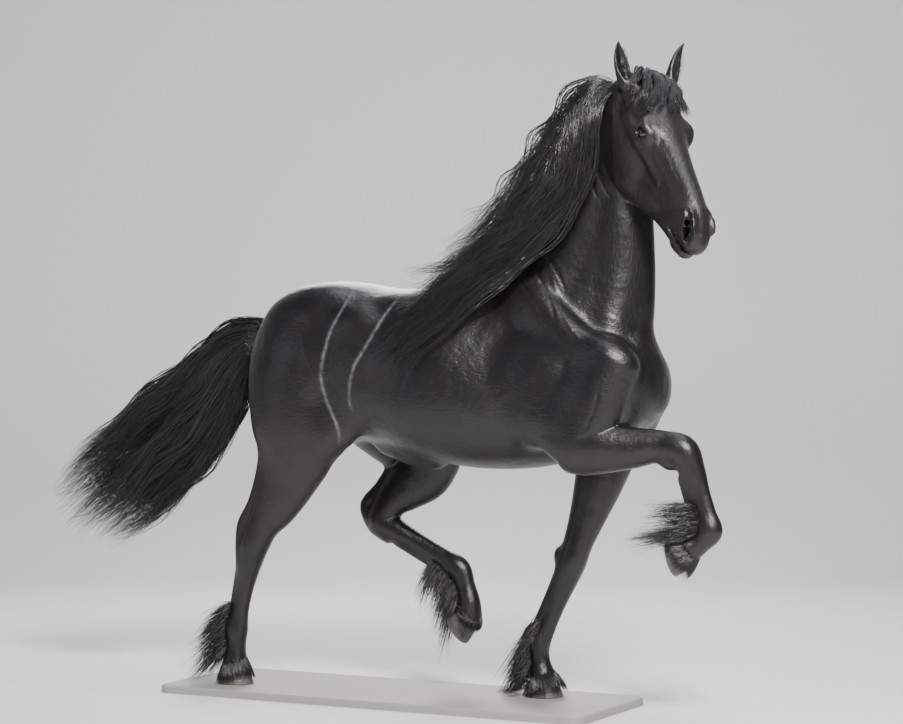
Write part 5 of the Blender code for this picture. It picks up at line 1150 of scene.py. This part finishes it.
def tail_hair(clear, material, piece, locks=44, each=28, steps=25):
    """One half of the tail, its locks spread to both sides of the guides."""
    chance = np.random.default_rng(60 + piece)
    high = (np.arange(locks) + chance.uniform(0, 1, locks)) / locks
    centres = fan([[(x, 0.0, z) for x, z in guide] for guide in TAIL], high, steps)
    breadth = np.sqrt(np.clip(1 - (2 * high - 1) ** 2, 0.05, 1)) * chance.uniform(-1, 1, locks)
    centres[..., 1] += breadth[:, None] * (0.03 + 0.085 * np.minimum(1, np.linspace(0, 1, steps) * 1.8))
    laid("tail_hair_" + "ab"[piece], clear, centres, each, (0.034, 0.25, 0.016, 3.6, 0.0065), (0.7, 0.97),
        0.01, (0.002, 0.012), np.array([0.1, 1.0, 0.1]), chance, material=material, slot="hair",
        axis=((-0.88, 0, 1.42), (-1.46, 0, 1.0)))

def forelock(clear, material, locks=34, each=20, steps=17):
    chance = np.random.default_rng(5)
    centres = fan(FORELOCK, chance.uniform(0, 1, locks), steps)
    laid("forelock", clear, centres, each, (0.015, 0.45, 0.008, 2.2, 0.0034), (0.6, 1.0), 0.008,
        (0.004, 0.026), np.array([0.8, -0.4, 0.4]), chance, thick=0.0013, material=material, slot="coat",
        axis=((0.7, -0.1, 2.25), (0.9, -0.1, 2.25)))

def feather(name, clear, material, count=1250, steps=13):
    """Long hair down the back of one lower leg and over its hoof."""
    roots, back, fall = FEATHERS[name]
    back, fall = unit(back), unit(fall)
    chance = np.random.default_rng(sum(ord(c) for c in name))
    a = chance.uniform(0, 1, count)
    around = chance.uniform(-1.5, 1.5, count)
    way = units(back + np.array([0, 1.05, 0]) * around[:, None] + fall * 0.35 * a[:, None])
    start = clear.drop(resampled(roots, 60)[(a * 59).astype(int)] + way * 0.035)
    length = chance.uniform(0.1, 0.185, count) * (1 - 0.28 * np.abs(around)) * (0.7 + 0.3 * a)
    t = np.linspace(0, 1, steps)[None, :, None]
    reach = length[:, None, None]
    paths = start[:, None] + way[:, None] * reach * t * 0.9 + fall * reach * (0.15 * t + 0.55 * t * t)
    lean = chance.normal(0, 0.014, (count, 1, 3))
    ripple = np.sin(chance.uniform(0, ROUND, (count, 1, 1)) + 9 * t) * 0.006 * t
    paths = paths + lean * t + ripple * units(chance.normal(0, 1, (count, 1, 3)))
    paths = kept_off(rooted(paths, clear, 0.006), clear, chance.uniform(0.001, 0.006, count))
    axis = (roots[0], roots[-1])
    strands("feather_" + name, paths, 0.0021, 0.0009, (0, 0.6, 0.6), chance, material, "coat", axis)

def tufts(name, clear, starts, way, length, count, seed, material, stand):
    """Short hair scattered between start points on the skin, lying along way and standing a little."""
    chance = np.random.default_rng(seed)
    pick = chance.uniform(0, len(starts) - 1, count)
    k = np.minimum(pick.astype(int), len(starts) - 2)
    part = (pick - k)[:, None]
    foot = starts[k] * (1 - part) + starts[k + 1] * part + chance.normal(0, 0.006, (count, 3))
    lie = units(way + chance.normal(0, 0.12, (count, 3)))
    foot = clear.drop(foot)
    out = clear.slope(foot)
    lie = units(lie - out * (lie * out).sum(1, keepdims=True) + out * stand)
    t = np.linspace(0, 1, TUFT_POINTS)[None, :, None]
    reach = (length * chance.uniform(0.6, 1.1, count))[:, None, None]
    paths = foot[:, None] - out[:, None] * 0.002 + lie[:, None] * reach * t
    paths = paths + way * reach * 0.25 * t * t
    paths[..., 2] = np.maximum(paths[..., 2], TUFT_FLOOR)
    wide = 0.0012 if length < 0.025 else 0.002
    strands(name, paths, wide, wide / 2, (0, 0.6, 0.6), chance, material, "coat",
        (starts[0], starts[np.argmax(length_of(starts - starts[0]))]))

# Length of the hair that hangs over each hoof
CORONET_HAIR = {"hind_right": 0.062, "fore_left": 0.068, "hind_left": 0.03, "fore_right": 0.066}

def short_tufts(clear, material):
    """Hair in the ears, under the jaw, on the chin and round each coronet."""
    for label, _, place in ear_axes():
        inside = place([(d, 0, 0.012) for d in (0.03, 0.06, 0.1)])
        tufts("ear_hair_" + label, clear, inside, place.turn([1, 0, 0.7]), 0.022, 220, 7, material, 0.6)
        for piece, turn, seed in (("rim", -1, 8), ("edge", 1, 9)):
            rim = place([(d, turn * 0.024 * (1 - d / 0.19), 0) for d in (0.03, 0.08, 0.13)])
            tufts("ear_" + piece + "_" + label, clear, rim, place.turn([1, 0, 0.3]), 0.01, 160, seed,
                material, 0.3)
    place = head_place()
    jaw = place([(u, 0.0, v) for u, v
        in ((0.2, -0.3), (0.32, -0.28), (0.45, -0.22), (0.56, -0.19), (0.63, -0.18))])
    tufts("jaw_hair", clear, jaw, place.turn([0.8, 0, -0.5]), 0.016, 420, 11, material, 0.5)
    for name in HOOVES:
        axes = hoof_axes(name)
        angle = 2 * math.pi * np.arange(13) / 12
        ahead = 0.055 * np.cos(angle)
        ring = axes(np.stack([CORONET[0] + ahead, 0.052 * np.sin(angle),
            CORONET[1] + 0.012 + ahead * math.tan(CORONET_TILT)], 1))
        tufts("coronet_" + name, clear, ring, axes.turn([0.1, 0, -1.0]), CORONET_HAIR[name], 1500, 13,
            material, 0.4)

# Stage

def lamp(name, place, aim, size, power, colour=(1, 1, 1)):
    light = bpy.data.lights.new(name, "AREA")
    light.shape = "RECTANGLE"
    light.size, light.size_y = size
    light.energy = power
    light.color = colour
    obj = bpy.data.objects.new(name, light)
    obj.location = Vector(place) + Vector(MOVE)
    obj.rotation_euler = (Vector(place) - Vector(aim)).to_track_quat("Z", "Y").to_euler()
    bpy.context.scene.collection.objects.link(obj)

def floor_material():
    """Pale paint that is clear from behind, so that the sweep hides nothing in the views from the back."""
    made = plain_material("floor", (0.74, 0.74, 0.73), 0.8)
    tree = made.node_tree
    both = node(tree, "MixShader")
    tree.links.new(node(tree, "NewGeometry").outputs["Backfacing"], both.inputs["Fac"])
    tree.links.new(tree.nodes["Principled BSDF"].outputs["BSDF"], both.inputs[1])
    tree.links.new(node(tree, "BsdfTransparent").outputs["BSDF"], both.inputs[2])
    tree.links.new(both.outputs["Shader"], tree.nodes["Material Output"].inputs["Surface"])
    return made

def studio():
    rows = []
    level = -BASE_HEIGHT
    for out, high in [(-14, 0), (5.0, 0)] + [(5.0 + 1.6 * math.sin(a), 1.6 - 1.6 * math.cos(a)) for a
            in np.linspace(0.1, math.pi / 2, 14)] + [(6.6, 9)]:
        rows.append([-BACKWARD * out + SIDEWAYS * w + np.array([0, 0, high + level]) for w in (-16, 16)])
    points = [p for row in rows for p in row]
    faces = [(2 * k, 2 * k + 1, 2 * k + 3, 2 * k + 2) for k in range(len(rows) - 1)]
    sweep = mesh_of("floor_sweep", points, faces, floor_material())
    world = bpy.data.worlds.new("studio")
    world.use_nodes = True
    world.node_tree.nodes["Background"].inputs["Color"].default_value = (0.8, 0.84, 0.92, 1.0)
    world.node_tree.nodes["Background"].inputs["Strength"].default_value = 0.13
    bpy.context.scene.world = world
    middle = (0.0, 0.0, 1.2)
    lamp("key", (3.9, -5.0, 5.6), middle, (1.8, 1.5), 1250, (1.0, 0.975, 0.94))
    lamp("sky", (0.4, 0.4, 6.0), middle, (5.0, 3.0), 240, (0.88, 0.92, 1.0))
    lamp("fill", (-5.5, -5.0, 2.6), middle, (3.0, 3.0), 50, (0.92, 0.95, 1.0))
    lamp("rim", (-2.5, 4.2, 3.6), middle, (3.0, 1.6), 220, (1.0, 0.98, 0.95))

def camera():
    made = bpy.data.cameras.new("camera")
    made.sensor_width = SENSOR
    made.lens = FOCAL / PHOTO_WIDE * SENSOR
    obj = bpy.data.objects.new("camera", made)
    axes = Matrix([(*row,) for row in np.stack([SIDEWAYS, UPWARD, -FORWARD], 1)]).to_4x4()
    axes.translation = Vector(CAMERA_AT + MOVE)
    obj.matrix_world = axes
    bpy.context.scene.collection.objects.link(obj)
    bpy.context.scene.camera = obj

def build():
    coat, hair = coat_material(), hair_material()
    field = sampled_body()
    clear = Clearance(field)
    skin(field, clear, coat)
    wet = eye_material()
    eyeball(LEFT, "left", wet)
    eyeball(RIGHT, "right", wet)
    horn = hoof_material()
    for name in HOOVES:
        hoof(name, horn)
        feather(name, clear, hair)
    for piece in range(2):
        mane(clear, hair, piece)
        tail_hair(clear, hair, piece)
    forelock(clear, hair)
    short_tufts(clear, hair)
    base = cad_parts["stand_base"]
    base.data.materials.clear()
    base.data.materials.append(plain_material("stand", (0.3, 0.295, 0.285), 0.55))
    studio()
    camera()

build()
